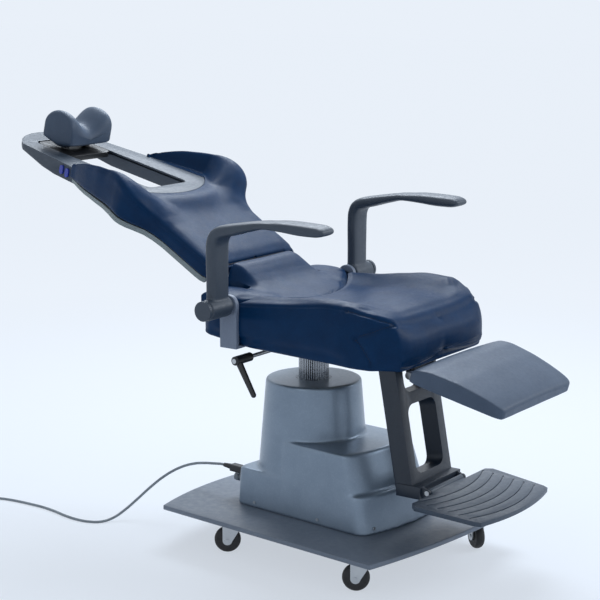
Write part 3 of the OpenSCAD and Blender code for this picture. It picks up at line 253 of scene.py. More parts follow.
@dataclass(frozen=True)
class Finish:
    """One finish of the chair, with its colour, gloss and fine relief.

    Attributes:
        name: material name.
        colour: main screen colour, 0 to 255.
        shade: second screen colour, in the mottling.
        rough: roughness where the surface is smoothest and dullest.
        grain: kind of fine relief.
        cell: grain cells a metre, or flutes round the column.
        depth: height of the grain in metres.
        mottle: clouds of the second colour a metre.
        metallic: 1 for bare metal.
        coat: weight of a clear coat.
        specular: strength of the plain reflection.
    """

    name: str
    colour: Colour
    shade: Colour
    rough: tuple[float, float]
    grain: Grain
    cell: float
    depth: float
    mottle: float = 18.0
    metallic: float = 0.0
    coat: float = 0.0
    specular: float = 0.5

    def make(self) -> bpy.types.Material:
        """Builds the material: mottled colour, uneven gloss, grain, pale specks, and painted shade in the
        grooves of fluted steel.

        Returns:
            The finished material.
        """
        coat_rough, gloss_scale, speck_scale, speck_share = 0.25, 7, 0.35, 0.12
        speck_ends, gain, lift = (0.5, 0.8), 1.25, 14
        # The dark grey here is painted shade for the grooves of fluted steel.
        groove_shade_ends, groove_shade_colour = (-0.75, 0.35), (38, 42, 50)
        tree = Tree(bpy.data.materials.new(self.name))
        cloud = tree.noise(self.mottle, 4)
        colour = tree.mix(tree.spread(cloud, 0, 1), linear(self.colour), linear(self.shade))
        # Painted shade: the flutes' grooves are darkened towards a dark grey, in place of the shade that falls
        # in them.
        if self.grain is Grain.FLUTED:
            groove = tree.spread(tree.flutes(self.cell), 1, 0, *groove_shade_ends)
            colour = tree.mix(groove, colour, linear(groove_shade_colour))
        if self.grain in (Grain.HIDE, Grain.MOULDED, Grain.PAINT, Grain.RUBBER):
            speck = tree.spread(tree.noise(self.cell * speck_scale, 2), 0, speck_share, *speck_ends)
            paler = tuple(min(255.0, gain * c + lift) for c in self.colour)
            colour = tree.mix(speck, colour, linear(paler))
        inputs = {
            "Base Color": colour,
            "Roughness": tree.spread(tree.noise(self.mottle * gloss_scale, 5), *self.rough),
            "Metallic": self.metallic, "Coat Weight": self.coat, "Coat Roughness": coat_rough,
            "Specular IOR Level": self.specular,
        }
        for key, value in inputs.items():
            tree.put(value, tree.shader.inputs[key])
        tree.bump(self.relief(tree))
        return tree.owner

    def relief(self, tree: Tree) -> list[tuple[Socket, float]]:
        """Height layers of this finish's grain.

        Args:
            tree: the material's tree.

        Returns:
            Pairs of height and depth in metres.
        """
        along_z, along_x = (1.0, 1.0, 0.03), (0.08, 1.0, 1.0)
        if self.grain is Grain.HIDE:
            folds, creases = tree.noise(16, 3), tree.noise(self.cell / 5, 3)
            return [(folds, 6 * self.depth), (creases, 1.5 * self.depth), (tree.cells(self.cell), self.depth)]
        if self.grain is Grain.BRUSHED:
            return [(tree.noise(self.cell, 2, tree.stretched(along_z)), self.depth)]
        if self.grain is Grain.FLUTED:
            return [(tree.flutes(self.cell), self.depth), (tree.noise(300, 2), self.depth / 8)]
        if self.grain is Grain.WOOD:
            return [(tree.noise(self.cell, 4, tree.stretched(along_x)), self.depth)]
        return [(tree.noise(30, 2), 2 * self.depth), (tree.noise(self.cell, 2), self.depth)]


FINISHES = {
    "navy_leather": Finish(
        "navy leather", (4, 48, 86), (3, 41, 76), (0.34, 0.46), Grain.HIDE, 850, 0.00009, specular=0.11
    ),
    "pad_grey": Finish(
        "grey pad skin", (75, 90, 110), (67, 82, 102), (0.42, 0.54), Grain.MOULDED, 1300, 0.00005,
        specular=0.35,
    ),
    "arm_plastic": Finish(
        "armrest moulding", (58, 69, 82), (52, 63, 76), (0.40, 0.54), Grain.MOULDED, 1500, 0.00005
    ),
    "track_plastic": Finish(
        "track moulding", (58, 69, 82), (52, 63, 76), (0.42, 0.56), Grain.MOULDED, 1500, 0.00006
    ),
    "housing_paint": Finish(
        "housing paint", (130, 146, 163), (121, 137, 154), (0.30, 0.40), Grain.PAINT, 700, 0.000015,
        coat=0.15, metallic=0.45,
    ),
    "plate_paint": Finish(
        "plate paint", (118, 128, 142), (108, 119, 134), (0.32, 0.50), Grain.PAINT, 900, 0.00005, mottle=9
    ),
    "foot": Finish(
        "footplate paint", (56, 70, 86), (50, 64, 80), (0.34, 0.50), Grain.PAINT, 900, 0.00005, mottle=12
    ),
    "frame_paint": Finish(
        "dark frame paint", (27, 40, 55), (23, 35, 49), (0.36, 0.48), Grain.PAINT, 900, 0.00005
    ),
    "light_paint": Finish(
        "pale grey paint", (122, 133, 152), (113, 125, 144), (0.40, 0.52), Grain.PAINT, 1000, 0.00004
    ),
    "shell": Finish(
        "back shell", (142, 152, 152), (133, 143, 144), (0.46, 0.58), Grain.MOULDED, 1400, 0.00005
    ),
    "zinc_plate": Finish(
        "bright zinc", (186, 190, 194), (172, 177, 182), (0.26, 0.40), Grain.BRUSHED, 1500, 0.00001,
        metallic=1.0,
    ),
    # Fluted ram steel: the darker grooves are painted shade.
    "ram_steel": Finish(
        "fluted ram steel", (186, 192, 200), (150, 158, 168), (0.20, 0.32), Grain.FLUTED, 44, 0.0012,
        metallic=0.9,
    ),
    "bronze": Finish(
        "bearing bronze", (176, 140, 86), (160, 124, 74), (0.30, 0.42), Grain.BRUSHED, 1200, 0.00001,
        metallic=1.0,
    ),
    "black_plastic": Finish(
        "black plastic", (26, 27, 30), (21, 22, 25), (0.38, 0.52), Grain.MOULDED, 1500, 0.00004
    ),
    "tyre_black": Finish("castor tread", (22, 22, 24), (29, 29, 31), (0.50, 0.68), Grain.RUBBER, 800, 0.00006),
    "cord_grey": Finish(
        "grey cord", (138, 146, 152), (128, 136, 143), (0.44, 0.58), Grain.MOULDED, 1200, 0.00004
    ),
    "blue_plastic": Finish(
        "blue buttons", (34, 58, 178), (28, 50, 160), (0.24, 0.34), Grain.MOULDED, 900, 0.00002, coat=0.3
    ),
    # The thread colour also dresses the dark tubes of painted shade in some seams.
    "thread": Finish("seam thread", (5, 18, 40), (4, 15, 34), (0.55, 0.7), Grain.MOULDED, 1500, 0.00002),
    "board_wood": Finish("seat board", (176, 148, 108), (152, 124, 86), (0.56, 0.72), Grain.WOOD, 260, 0.0001),
}


class Paintshop:
    """Hands out each finish's material, made once."""

    def __init__(self) -> None:
        """Starts with no material made."""
        self.made: dict[str, bpy.types.Material] = {}

    def dress(self, piece: Object, name: str) -> None:
        """Gives a piece one finish.

        Args:
            piece: a mesh or curve object.
            name: a key of FINISHES.
        """
        if name not in self.made:
            self.made[name] = FINISHES[name].make()
        if not piece.material_slots:
            piece.data.materials.append(None)
        for holder in piece.material_slots:
            holder.material = self.made[name]


PAINT = Paintshop()


def placed(piece: Object, body: str, slot: str, *nodes: str, finish: str = "") -> Object:
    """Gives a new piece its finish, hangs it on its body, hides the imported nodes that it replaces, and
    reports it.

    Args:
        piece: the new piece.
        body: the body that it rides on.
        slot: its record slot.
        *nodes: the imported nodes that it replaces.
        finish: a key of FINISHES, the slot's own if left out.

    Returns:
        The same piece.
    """
    PAINT.dress(piece, finish or slot)
    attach(piece, body)
    if nodes:
        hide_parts(*nodes)
    LOG.info("%s rides on %s in %s", piece.name, body, finish or slot)
    return piece


def link(thing: Object) -> Object:
    """Puts a new object into the scene."""
    bpy.context.scene.collection.objects.link(thing)
    return thing


def smooth(t: Array) -> Array:
    """Eased step from 0 to 1: three times the square less twice the cube."""
    t = np.clip(t, 0.0, 1.0)
    return t * t * (3 - 2 * t)


def hump(x: Array, at: float, width: float) -> Array:
    """A smooth hump of height 1 over `at`, which has nearly gone at twice its width."""
    return np.exp(-(((x - at) / width) ** 2))


def unit(v: Array) -> Array:
    """Vectors of one metre in the same directions."""
    return v / np.linalg.norm(v, axis=-1, keepdims=True)


def distances(points: Array) -> Array:
    """How far along a line each of its points lies."""
    return np.concatenate([[0], np.cumsum(np.linalg.norm(np.diff(points, axis=0), axis=1))])


def round_ring(count: int, side: Array, up: Array) -> Array:
    """Points of a circle of one metre, from one or more pairs of directions square to each other."""
    a = np.linspace(0, 2 * np.pi, count, endpoint=False)[:, None]
    return np.cos(a) * side[..., None, :] + np.sin(a) * up[..., None, :]


def table(rows: Sequence[Sequence[float]], at: Array) -> Array:
    """Reads a table of shares smoothly: each column is a monotone cubic through its rows.

    Args:
        rows: rows of a place and its values, in order of the place.
        at: places to read.

    Returns:
        One row of values for each place.
    """
    rows = np.array(rows, float)
    x, y = rows[:, 0], rows[:, 1:]
    step = np.maximum(np.diff(x), 1e-9)[:, None]
    rise = np.diff(y, axis=0) / step
    slope = np.zeros_like(y)
    slope[0], slope[-1] = rise[0], rise[-1]
    same = rise[:-1] * rise[1:] > 0
    slope[1:-1] = np.where(same, 2 * rise[:-1] * rise[1:] / np.where(same, rise[:-1] + rise[1:], 1), 0)
    i = np.clip(np.searchsorted(x, at, side="right") - 1, 0, len(x) - 2)
    t = ((at - x[i]) / step[i, 0])[:, None]
    a, b = 2 * t**3 - 3 * t**2 + 1, t**3 - 2 * t**2 + t
    return a * y[i] + b * step[i] * slope[i] + (1 - a) * y[i + 1] + (t**3 - t**2) * step[i] * slope[i + 1]


def even(points: Array, count: int) -> Array:
    """The same line with its points at even distances along it.

    Args:
        points: the line's points.
        count: how many points the new line has.

    Returns:
        The new points.
    """
    run = distances(points)
    at = np.linspace(0, run[-1], count)
    return np.stack([np.interp(at, run, column) for column in points.T], axis=1)


def rounded_square(power: float, count: int, aspect: float = 1.0) -> Array:
    """Outline of |x|^power + |y|^power = 1, anticlockwise from the +X side.

    Args:
        power: 2 gives a circle, and more gives a squarer outline.
        count: number of points.
        aspect: width over height of what it is stretched to, on which its points are evenly spaced.

    Returns:
        The points, without the first one repeated.
    """
    a = np.linspace(0, 2 * np.pi, 4001)
    c, s = np.cos(a), np.sin(a)
    ring = np.stack([np.sign(c) * np.abs(c) ** (2 / power), np.sign(s) * np.abs(s) ** (2 / power)], axis=1)
    return even(ring * [aspect, 1], count + 1)[:-1] / [aspect, 1]


def catmull(points: Array, steps: int) -> Array:
    """Smooth curve through points: a cubic between each two, with slopes from their neighbours.

    Args:
        points: points that the curve passes.
        steps: points for each span.

    Returns:
        The curve's points, with the last one.
    """
    p = np.concatenate([points[:1], points, points[-1:]])
    a, b, c, d = p[:-3, None], p[1:-2, None], p[2:-1, None], p[3:, None]
    t = (np.arange(steps) / steps)[None, :, None]
    line = (2 * b + (c - a) * t + (2 * a - 5 * b + 4 * c - d) * t**2 + (3 * b - a - 3 * c + d) * t**3) / 2
    return np.concatenate([line.reshape(-1, points.shape[1]), points[-1:]])


def ease_ends(count: int, length: float, radius: float, turn: int = 7) -> tuple[Array, Array]:
    """Places along a piece whose ends are quarter rounds, and how far the section is drawn in there.

    Args:
        count: places in the straight stretch.
        length: the piece's length.
        radius: radius of the round ends.
        turn: places in each quarter round.

    Returns:
        The places from 0 to length, and the inset at each.
    """
    a = np.linspace(0, np.pi / 2, turn, endpoint=False)
    first, inset = radius * (1 - np.cos(a)), radius * (1 - np.sin(a))
    middle = np.linspace(radius, length - radius, count)
    places = np.concatenate([first, middle, length - first[::-1]])
    return places, np.concatenate([inset, 0 * middle, inset[::-1]])


def closed_skin(rings: Array, rounds: int = 3) -> Skin:
    """Closed surface through rings, whose ends are drawn inwards over a few rings and then bridged.

    Args:
        rings: array of rings by points by three, with an even number of points.
        rounds: rings in each end cap.

    Returns:
        Vertices and four-cornered faces.
    """
    shares = (np.arange(rounds, 0, -1) / (rounds + 1))[:, None, None]
    first, last = rings[0].mean(0), rings[-1].mean(0)
    head = first + (rings[0] - first) * shares[::-1]
    tail = last + (rings[-1] - last) * shares
    grid = np.concatenate([head, rings, tail])
    m, n = grid.shape[:2]
    i, j = np.meshgrid(np.arange(m - 1), np.arange(n), indexing="ij")
    k = (j + 1) % n
    quads = np.stack([i * n + j, i * n + k, (i + 1) * n + k, (i + 1) * n + j], axis=-1).reshape(-1, 4)
    j = np.arange(n // 2 - 1)
    bridge = np.stack([j, j + 1, n - 2 - j, n - 1 - j], axis=-1)
    return grid.reshape(-1, 3), [*quads.tolist(), *bridge[:, ::-1].tolist(), *(bridge + (m - 1) * n).tolist()]


def lathe(profile: Sequence[tuple[float, float]], centre: Point, axis: Point, sides: int = 48) -> Skin:
    """Turned shape: a profile of distance along an axis and radius, carried round that axis.

    Args:
        profile: pairs of distance and radius, in order.
        centre: where the distance is zero.
        axis: direction of the axis.
        sides: points around.

    Returns:
        Vertices and faces.
    """
    profile, way = np.array(profile, float), unit(np.array(axis, float))
    side = unit(np.cross(way, [0.0, 0.0, 1.0] if abs(way[2]) < 0.9 else [1.0, 0.0, 0.0]))
    ring = round_ring(sides, side, np.cross(way, side))
    return closed_skin(np.array(centre) + profile[:, :1, None] * way + profile[:, 1:, None] * ring, 1)


def mesh_piece(name: str, parts: Sequence[Skin], smooth_angle: float = 50.0) -> Object:
    """Joins surfaces into one object at the origin, with its faces pointing outwards.

    Args:
        name: the object's name.
        parts: pairs of vertices and faces.
        smooth_angle: edges sharper than this many degrees stay crisp.

    Returns:
        The new object.
    """
    points, faces, start = [], [], 0
    for p, f in parts:
        points.append(np.asarray(p, float))
        faces += [[v + start for v in face] for face in f]
        start += len(p)
    mesh = bpy.data.meshes.new(name)
    mesh.from_pydata(np.concatenate(points).tolist(), [], faces)
    heal(mesh, recalculate=True)
    shade(mesh, smooth_angle)
    return link(bpy.data.objects.new(name, mesh))


def heal(mesh: Mesh, recalculate: bool, flat: float = 0.0) -> None:
    """Merges doubled points, drops needless edges in flat areas and turns faces outwards.

    Args:
        mesh: the mesh to clean.
        recalculate: whether the faces' directions are worked out anew.
        flat: faces that meet within this many degrees become one, if it is over zero.
    """
    work = bmesh.new()
    work.from_mesh(mesh)
    bmesh.ops.remove_doubles(work, verts=work.verts, dist=DOUBLED)
    if flat:
        bmesh.ops.dissolve_limit(work, angle_limit=math.radians(flat), verts=work.verts, edges=work.edges)
    if recalculate:
        bmesh.ops.recalc_face_normals(work, faces=work.faces)
    work.to_mesh(mesh)
    work.free()


def shade(mesh: Mesh, angle: float) -> None:
    """Smooth shading, but crisp across edges sharper than an angle in degrees."""
    mesh.shade_smooth()
    mesh.set_sharp_from_angle(angle=math.radians(angle))


def finished(piece: Object) -> Object:
    """Applies a piece's modifiers, so that its mesh is what shows.

    Args:
        piece: an object with modifiers.

    Returns:
        The same object.
    """
    graph = bpy.context.evaluated_depsgraph_get()
    mesh = bpy.data.meshes.new_from_object(piece.evaluated_get(graph))
    piece.modifiers.clear()
    old, piece.data = piece.data, mesh
    mesh.name = piece.name
    bpy.data.meshes.remove(old)
    return piece


def coordinates(mesh: Mesh, what: str = "co") -> Array:
    """A mesh's points, or its normals at them, as rows of three.

    Args:
        mesh: the mesh.
        what: "co" for the points, "normal" for the normals.

    Returns:
        An array of rows.
    """
    values = np.empty(len(mesh.vertices) * 3)
    mesh.vertices.foreach_get(what, values)
    return values.reshape(-1, 3)


def surface(mesh: Mesh) -> tuple[Array, Array]:
    """A mesh's points, and its normals at them."""
    return coordinates(mesh), coordinates(mesh, "normal")


def move_points(mesh: Mesh, co: Array) -> None:
    """Puts a mesh's points at new places."""
    mesh.vertices.foreach_set("co", np.asarray(co, float).ravel())
    mesh.update()


def modifier(piece: Object, kind: str, **values: object) -> bpy.types.Modifier:
    """Adds a modifier to a piece and sets its properties.

    Args:
        piece: the object.
        kind: the modifier's type.
        **values: its properties.

    Returns:
        The modifier.
    """
    added = piece.modifiers.new(kind.title(), kind)
    for key, value in values.items():
        setattr(added, key, value)
    return added


def united(piece: Object, voxel: float, rounds: int) -> Object:
    """Unites a piece's overlapping skins into one, and softens its corners like a moulding's.

    Args:
        piece: the object to unite.
        voxel: size of the new mesh's squares.
        rounds: how many times it is smoothed.

    Returns:
        The same object.
    """
    modifier(piece, "REMESH", mode="VOXEL", voxel_size=voxel, use_smooth_shade=True)
    modifier(piece, "SMOOTH", factor=0.5, iterations=rounds)
    return finished(piece)


def turned(points: Array) -> Array:
    """Turns points given about the column in the base's own directions into the shared frame.

    Args:
        points: the points, in an array whose last axis is three long.

    Returns:
        The same points in the shared frame.
    """
    c, s = math.cos(BASE_TURN), math.sin(BASE_TURN)
    x, y, z = np.moveaxis(np.asarray(points, float), -1, 0)
    return np.stack([COLUMN_X + x * c - y * s, x * s + y * c, z], axis=-1)


def tilted(points: Array, origin: Point, slope: float) -> Array:
    """Turns points about Y and moves them to an origin.

    Args:
        points: the points.
        origin: where their own origin goes.
        slope: the turn in degrees, nose down if it is positive.

    Returns:
        The moved points.
    """
    c, s = math.cos(math.radians(slope)), math.sin(math.radians(slope))
    x, y, z = np.moveaxis(points, -1, 0)
    return np.stack([x * c + z * s, y, z * c - x * s], axis=-1) + np.array(origin)


@dataclass(frozen=True)
class Lamp:
    """A large soft lamp.

    Attributes:
        name: its name.
        place: where it is.
        target: the point that it faces.
        size: length of its sides.
        watts: its power.
        colour: its screen colour.
    """

    name: str
    place: Point
    target: Point
    size: float
    watts: float
    colour: Colour

    def hang(self) -> None:
        """Adds the lamp to the scene."""
        data = bpy.data.lights.new(self.name, "AREA")
        data.size, data.energy, data.color = self.size, self.watts, linear(self.colour)[:3]
        lamp = link(bpy.data.objects.new(self.name, data))
        lamp.location = self.place
        lamp.rotation_euler = (Vector(self.target) - Vector(self.place)).to_track_quat("-Z", "Y").to_euler()


@dataclass(frozen=True)
class Studio:
    """The photograph's camera, a plain pale floor, a pale sky and soft lamps.

    Attributes:
        eye: the camera's place.
        azimuth: its turn about the vertical, in degrees.
        pitch: how far it looks down, in degrees.
        lens: focal length in millimetres.
        sensor: width of the sensor in millimetres.
        view_end: how far the camera sees.
        floor: screen colour of the floor.
        floor_half: half of the floor's width.
        floor_rough: the floor's roughness.
        floor_seen: share of the floor's colour that shows whatever the light, near the chair and far off.
        floor_fade: distances from the origin between which that share rises.
        sky: screen colour of the sky.
        sky_light: the sky's strength as a light.
        lamps: the lamps.
    """

    eye: Point = (2.540, -3.467, 1.44)
    azimuth: float = 35.11
    pitch: float = 11.055
    lens: float = 103.32
    sensor: float = 36.0
    view_end: float = 60.0
    floor: Colour = (236, 243, 252)
    floor_half: float = 26.0
    floor_rough: float = 0.9
    floor_seen: tuple[float, float] = (0.62, 0.95)
    floor_fade: tuple[float, float] = (0.9, 3.4)
    sky: Colour = (233, 240, 249)
    sky_light: float = 0.40
    lamps: tuple[Lamp, ...] = (
        Lamp("sky_light", (-1.0, 1.8, 3.2), (0.1, 0.0, 0.5), 2.2, 120, (236, 245, 255)),
        Lamp("side_light", (2.6, 2.0, 2.0), (0.2, 0.0, 0.5), 1.6, 40, (240, 247, 255)),
        Lamp("fill_light", (0.6, -3.8, 2.4), (0.1, 0.0, 0.5), 2.0, 11, (246, 250, 255)),
    )

    def camera(self) -> None:
        """Puts the camera where the photograph's was."""
        data = bpy.data.cameras.new("camera")
        data.lens, data.sensor_width, data.sensor_fit = self.lens, self.sensor, "HORIZONTAL"
        data.clip_end = self.view_end
        camera = link(bpy.data.objects.new("camera", data))
        camera.location = self.eye
        camera.rotation_euler = (math.radians(90 - self.pitch), 0, math.radians(self.azimuth))
        bpy.context.scene.camera = camera

    def pale(self) -> bpy.types.Material:
        """The floor's material, which partly shows its own colour to the camera and to reflections.

        Returns:
            The material.
        """
        tree = Tree(bpy.data.materials.new("pale floor"))
        tree.put(linear(self.floor), tree.shader.inputs["Base Color"])
        tree.put(self.floor_rough, tree.shader.inputs["Roughness"])
        glow = tree.add("Emission", {"Color": linear(self.floor), "Strength": 1.0})
        away = tree.add("VectorMath", {0: tree.place}, operation="LENGTH").outputs["Value"]
        share = tree.maths("MULTIPLY", tree.seen(), tree.spread(away, *self.floor_seen, *self.floor_fade))
        blend = tree.add("MixShader", {0: share, 1: tree.shader.outputs[0], 2: glow.outputs[0]})
        tree.put(blend.outputs[0], tree.nodes["Material Output"].inputs["Surface"])
        return tree.owner

    def stage(self) -> None:
        """Makes the floor, wide enough to meet the sky at the same colour from every side."""
        h = self.floor_half
        corners = np.array([[-h, -h, 0], [h, -h, 0], [h, h, 0], [-h, h, 0]])
        sheet = mesh_piece("floor_sheet", [(corners, [[0, 1, 2, 3]])])
        sheet.data.materials.append(self.pale())

    def light(self) -> None:
        """Hangs the lamps, and makes a sky that lights softly and is seen at its full colour."""
        for lamp in self.lamps:
            lamp.hang()
        tree = Tree(bpy.data.worlds.new("pale sky"))
        tree.put(linear(self.sky), tree.shader.inputs["Color"])
        tree.put(tree.spread(tree.seen(), self.sky_light, 1.0, 0, 1), tree.shader.inputs["Strength"])
        bpy.context.scene.world = tree.owner
        bpy.context.scene.view_settings.view_transform = "Standard"

    def build(self) -> None:
        """Camera, stage and light."""
        self.camera()
        self.stage()
        self.light()


@dataclass(frozen=True)
class PowerLead:
    """Mains lead: strain relief, cord over the floor, tied coil and plug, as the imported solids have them.

    Attributes:
        diameter: the cord's thickness.
        route_mm: points that the loose stretch passes, in millimetres.
        end_mm: where the coil starts.
        loops: turns in each of the coil's two layers.
        coil_wide: distance across the coil at the middle of its turns.
        turn_gap: gap between turns.
        layer_gap: gap between the layers.
        climb: degrees over which the cord climbs to the upper layer.
        step: degrees between the coil's points.
        tail: straight stretch from the coil to the plug.
        inlet: side and height of the cord's exit, about the column.
        relief_start: where the strain relief starts, behind the column.
        relief_long: its length.
        relief_wide: its radius at the connector.
        relief_thin: its radius at the cord.
        rib: depth of its ribs.
        plug_long: length of the plug.
        plug_wide: width of the plug.
        pin: distances along a pin and its radii there.
        pin_aside: how far a pin stands from the middle.
    """

    diameter: float = 0.007
    route_mm: tuple[Point, ...] = (
        (-120, -75, 167), (-155, -70, 161), (-195, -66, 151), (-235, -70, 135), (-272, -86, 111),
        (-302, -110, 81), (-325, -140, 50), (-342, -172, 25), (-356, -203, 9), (-372, -232, 3.5),
        (-398, -250, 3.5), (-434, -255, 3.5), (-480, -250, 3.5), (-530, -238, 3.5), (-580, -230, 3.5),
        (-630, -229, 3.5), (-680, -231, 3.5), (-715, -236, 3.5), (-740, -242, 3.5), (-760, -245, 4.5),
    )
    end_mm: Point = (-780, -246, 5.5)
    loops: float = 2
    coil_wide: float = 0.080
    turn_gap: float = 0.0018
    layer_gap: float = 0.0008
    climb: float = 90.0
    step: float = 15.0
    tail: float = 0.052
    inlet: tuple[float, float] = (-0.105, 0.172)
    relief_start: float = 0.184
    relief_long: float = 0.030
    relief_wide: float = 0.008
    relief_thin: float = 0.005
    rib: float = 0.0006
    plug_long: float = 0.044
    plug_wide: float = 0.036
    pin: tuple[tuple[float, float], ...] = ((0, 0.0024), (0.017, 0.0024), (0.019, 0.0014))
    pin_aside: float = 0.0095

    def centreline(self) -> Array:
        """Points of the whole cord: out of its relief, over the floor, round the coil and to the plug.

        In the coil the radius falls by one turn's pitch each turn on the lower layer, and grows again on
        the upper one.

        Returns:
            The points.
        """
        out = -self.relief_start - self.relief_long
        start = turned([(out, *self.inlet), (out - self.diameter, *self.inlet)])
        x, y, low = (v * MM for v in self.end_mm)
        pitch = self.diameter + self.turn_gap
        outer = (self.coil_wide + self.loops * pitch) / 2
        lift = 360 * self.loops
        top = lift + self.climb
        a = np.arange(0, 2 * lift + 1, self.step)
        r = outer - pitch * top / 360 + pitch * np.abs(top - a) / 360
        turn = np.radians(a)
        height = low + (self.diameter + self.layer_gap) * smooth((a - lift) / self.climb)
        coil = np.stack([x - self.diameter - r * np.sin(turn), y - outer + r * np.cos(turn), height], axis=1)
        tail = coil[-1] - np.outer(np.arange(1, 5) * self.tail / 4, [1.0, 0, 0])
        return np.concatenate([start, np.array(self.route_mm) * MM, [[x, y, low]], coil, tail])

    def cord(self, line: Array) -> Object:
        """The cord as one curve.

        Args:
            line: its centreline.

        Returns:
            The curve object.
        """
        data = bpy.data.curves.new("mains_lead", "CURVE")
        data.dimensions, data.bevel_depth, data.bevel_resolution = "3D", self.diameter / 2, 4
        data.resolution_u, data.use_fill_caps = 4, True
        run = data.splines.new("BEZIER")
        run.bezier_points.add(len(line) - 1)
        run.bezier_points.foreach_set("co", line.ravel())
        for point in run.bezier_points:
            point.handle_left_type = point.handle_right_type = "AUTO"
        lead = link(bpy.data.objects.new("mains_lead", data))
        return placed(lead, "base", "cord_grey", "power_cord", "cord_coil")

    def relief(self) -> Object:
        """Tapered sleeve with soft ribs, between the connector and the cord.

        Returns:
            The sleeve.
        """
        ribs, rows = 6, 61
        t = np.linspace(0, 1, rows)
        taper = self.relief_wide + (self.relief_thin - self.relief_wide) * t
        radius = taper - self.rib * (np.sin(t * 2 * np.pi * ribs) > 0.2)
        radius[0] = radius[-1] = self.relief_thin - self.rib
        start, away = turned((-self.relief_start, *self.inlet)), turned((-1, 0, 0)) - turned((0, 0, 0))
        skin = lathe(np.stack([t * self.relief_long, radius], 1), start, away, 32)
        return placed(mesh_piece("cord_relief", [skin]), "base", "black_plastic", "strain_relief")

    def plug(self, end: Array) -> Object:
        """Moulded two-pin plug lying beside the coil: a waisted grip with a flat face and two pins.

        Args:
            end: the cord's last point, where the plug starts.

        Returns:
            The plug.
        """
        corner, squareness, bow, bow_long, neck, neck_long = 0.004, 4.5, 0.10, 1.25, 0.34, 0.25
        thin, thin_long = 0.22, 0.3
        places, drawn = ease_ends(20, self.plug_long, corner)
        t = places / self.plug_long
        waist = 1 - bow * np.sin(np.pi * np.clip(t * bow_long, 0, 1)) - neck * smooth(1 - t / neck_long)
        thick = 1 - thin * smooth(1 - t / thin_long)
        square = rounded_square(squareness, 40)
        half = np.stack([self.plug_wide / 2 * waist - drawn, end[2] * thick - drawn], 1)
        rings = np.zeros((len(t), len(square), 3))
        rings[..., 0] = (end[0] - places)[:, None]
        rings[..., 1:] = end[1:] + half[:, None] * square
        roots = [end - [self.plug_long, aside, 0] for aside in (self.pin_aside, -self.pin_aside)]
        pins = [lathe(self.pin, root, (-1, 0, 0), 20) for root in roots]
        body = mesh_piece("mains_plug_body", [closed_skin(rings)], 60)
        placed(mesh_piece("mains_plug_pins", pins, 40), "base", "zinc_plate")
        return placed(body, "base", "black_plastic", "mains_plug")

    def build(self) -> None:
        line = self.centreline()
        lead, relief, plug = self.cord(line), self.relief(), self.plug(line[-1])


@dataclass(frozen=True)
class Seam:
    """A sewn line on a cushion: a fine groove, its thread, the small gathers beside it, and at times a dark
    tube in the groove that is painted shade.

    Attributes:
        points_mm: places that it passes, about the column, in millimetres.
        width: half width of the groove.
        depth: depth of the groove.
        gather: height of the gathers.
        swell: height of the plump edges beside it.
        thread: whether its stitches show.
        shade_tube: radius of a dark tube laid in the groove as painted shade, if it is over zero.
    """

    points_mm: Array
    width: float = 0.0034
    depth: float = 0.0026
    gather: float = 0.00018
    swell: float = 0.0006
    thread: bool = True
    shade_tube: float = 0.0

    def lines(self) -> list[Array]:
        """The seam's line, and its mirrored twin."""
        line = about_column(even(catmull(np.array(self.points_mm, float) * MM, 12), 160))
        return [line, line * MIRROR]

    def relief(self, gap: Array, along: Array) -> Array:
        """How far the cover stands out near the seam: its groove, its plump edges and its gathers.

        Args:
            gap: distances from the seam.
            along: lengths along it.

        Returns:
            Heights over the plain cover.
        """
        plump_at, plump_wide, reach, start, fold, wander = 0.011, 0.007, 0.012, 0.004, 0.027, 40
        groove = -self.depth * hump(gap, 0, self.width)
        wave = np.sin(along * 2 * np.pi / fold + 3 * np.sin(along * wander))
        gathers = self.gather * np.exp(-gap / reach) * (1 - np.exp(-gap / start)) * wave
        return groove + self.swell * hump(gap, plump_at, plump_wide) + gathers


def about_column(points: Array) -> Array:
    """Points given about the column, in the shared frame."""
    return points + np.array([COLUMN_X, 0, 0])


def from_column(points: Array) -> Array:
    """Points of the shared frame, about the column."""
    return points - np.array([COLUMN_X, 0, 0])


def drawn_across(points: Array) -> Array:
    """Points of an outline in X and Z about the column, drawn along Y, in the shared frame."""
    return about_column(points[:, [0, 2, 1]])


def box_outline(x0: float, y0: float, x1: float, y1: float) -> Array:
    """Corners of a rectangle."""
    return np.array([(x0, y0), (x1, y0), (x1, y1), (x0, y1)])


def nearest(points: Array, line: Array) -> tuple[Array, Array]:
    """Distance of each point from a line, and how far along the line that is.

    Args:
        points: places to measure.
        line: closely spaced points of the line.

    Returns:
        Distances, of 1 where the line is far off, and lengths along the line.
    """
    margin, batch = 0.03, 20000
    run = distances(line)
    near = np.flatnonzero(((points > line.min(0) - margin) & (points < line.max(0) + margin)).all(1))
    distance, along = np.full(len(points), 1.0), np.zeros(len(points))
    for part in np.array_split(near, max(1, len(near) // batch)):
        if len(part):
            gap = np.linalg.norm(points[part, None] - line[None], axis=2)
            first = gap.argmin(1)
            distance[part], along[part] = gap[np.arange(len(part)), first], run[first]
    return distance, along


def ripple(p: Array, size: float) -> Array:
    """Gentle uneven waves, a sum of slanting sines.

    Args:
        p: places.
        size: about the wavelength.

    Returns:
        Values from -1 to 1.
    """
    k = 2 * np.pi / size
    a = np.sin(k * (p[:, 0] + 0.4 * p[:, 1]) + 1.3) * np.sin(k * 0.9 * (p[:, 1] - 0.3 * p[:, 2]) + 0.4)
    b = np.sin(k * 0.53 * (p[:, 0] - p[:, 1]) + 2.1) * np.sin(k * 0.61 * (p[:, 2] + 0.6 * p[:, 0]) + 0.8)
    return (a + b) / 2


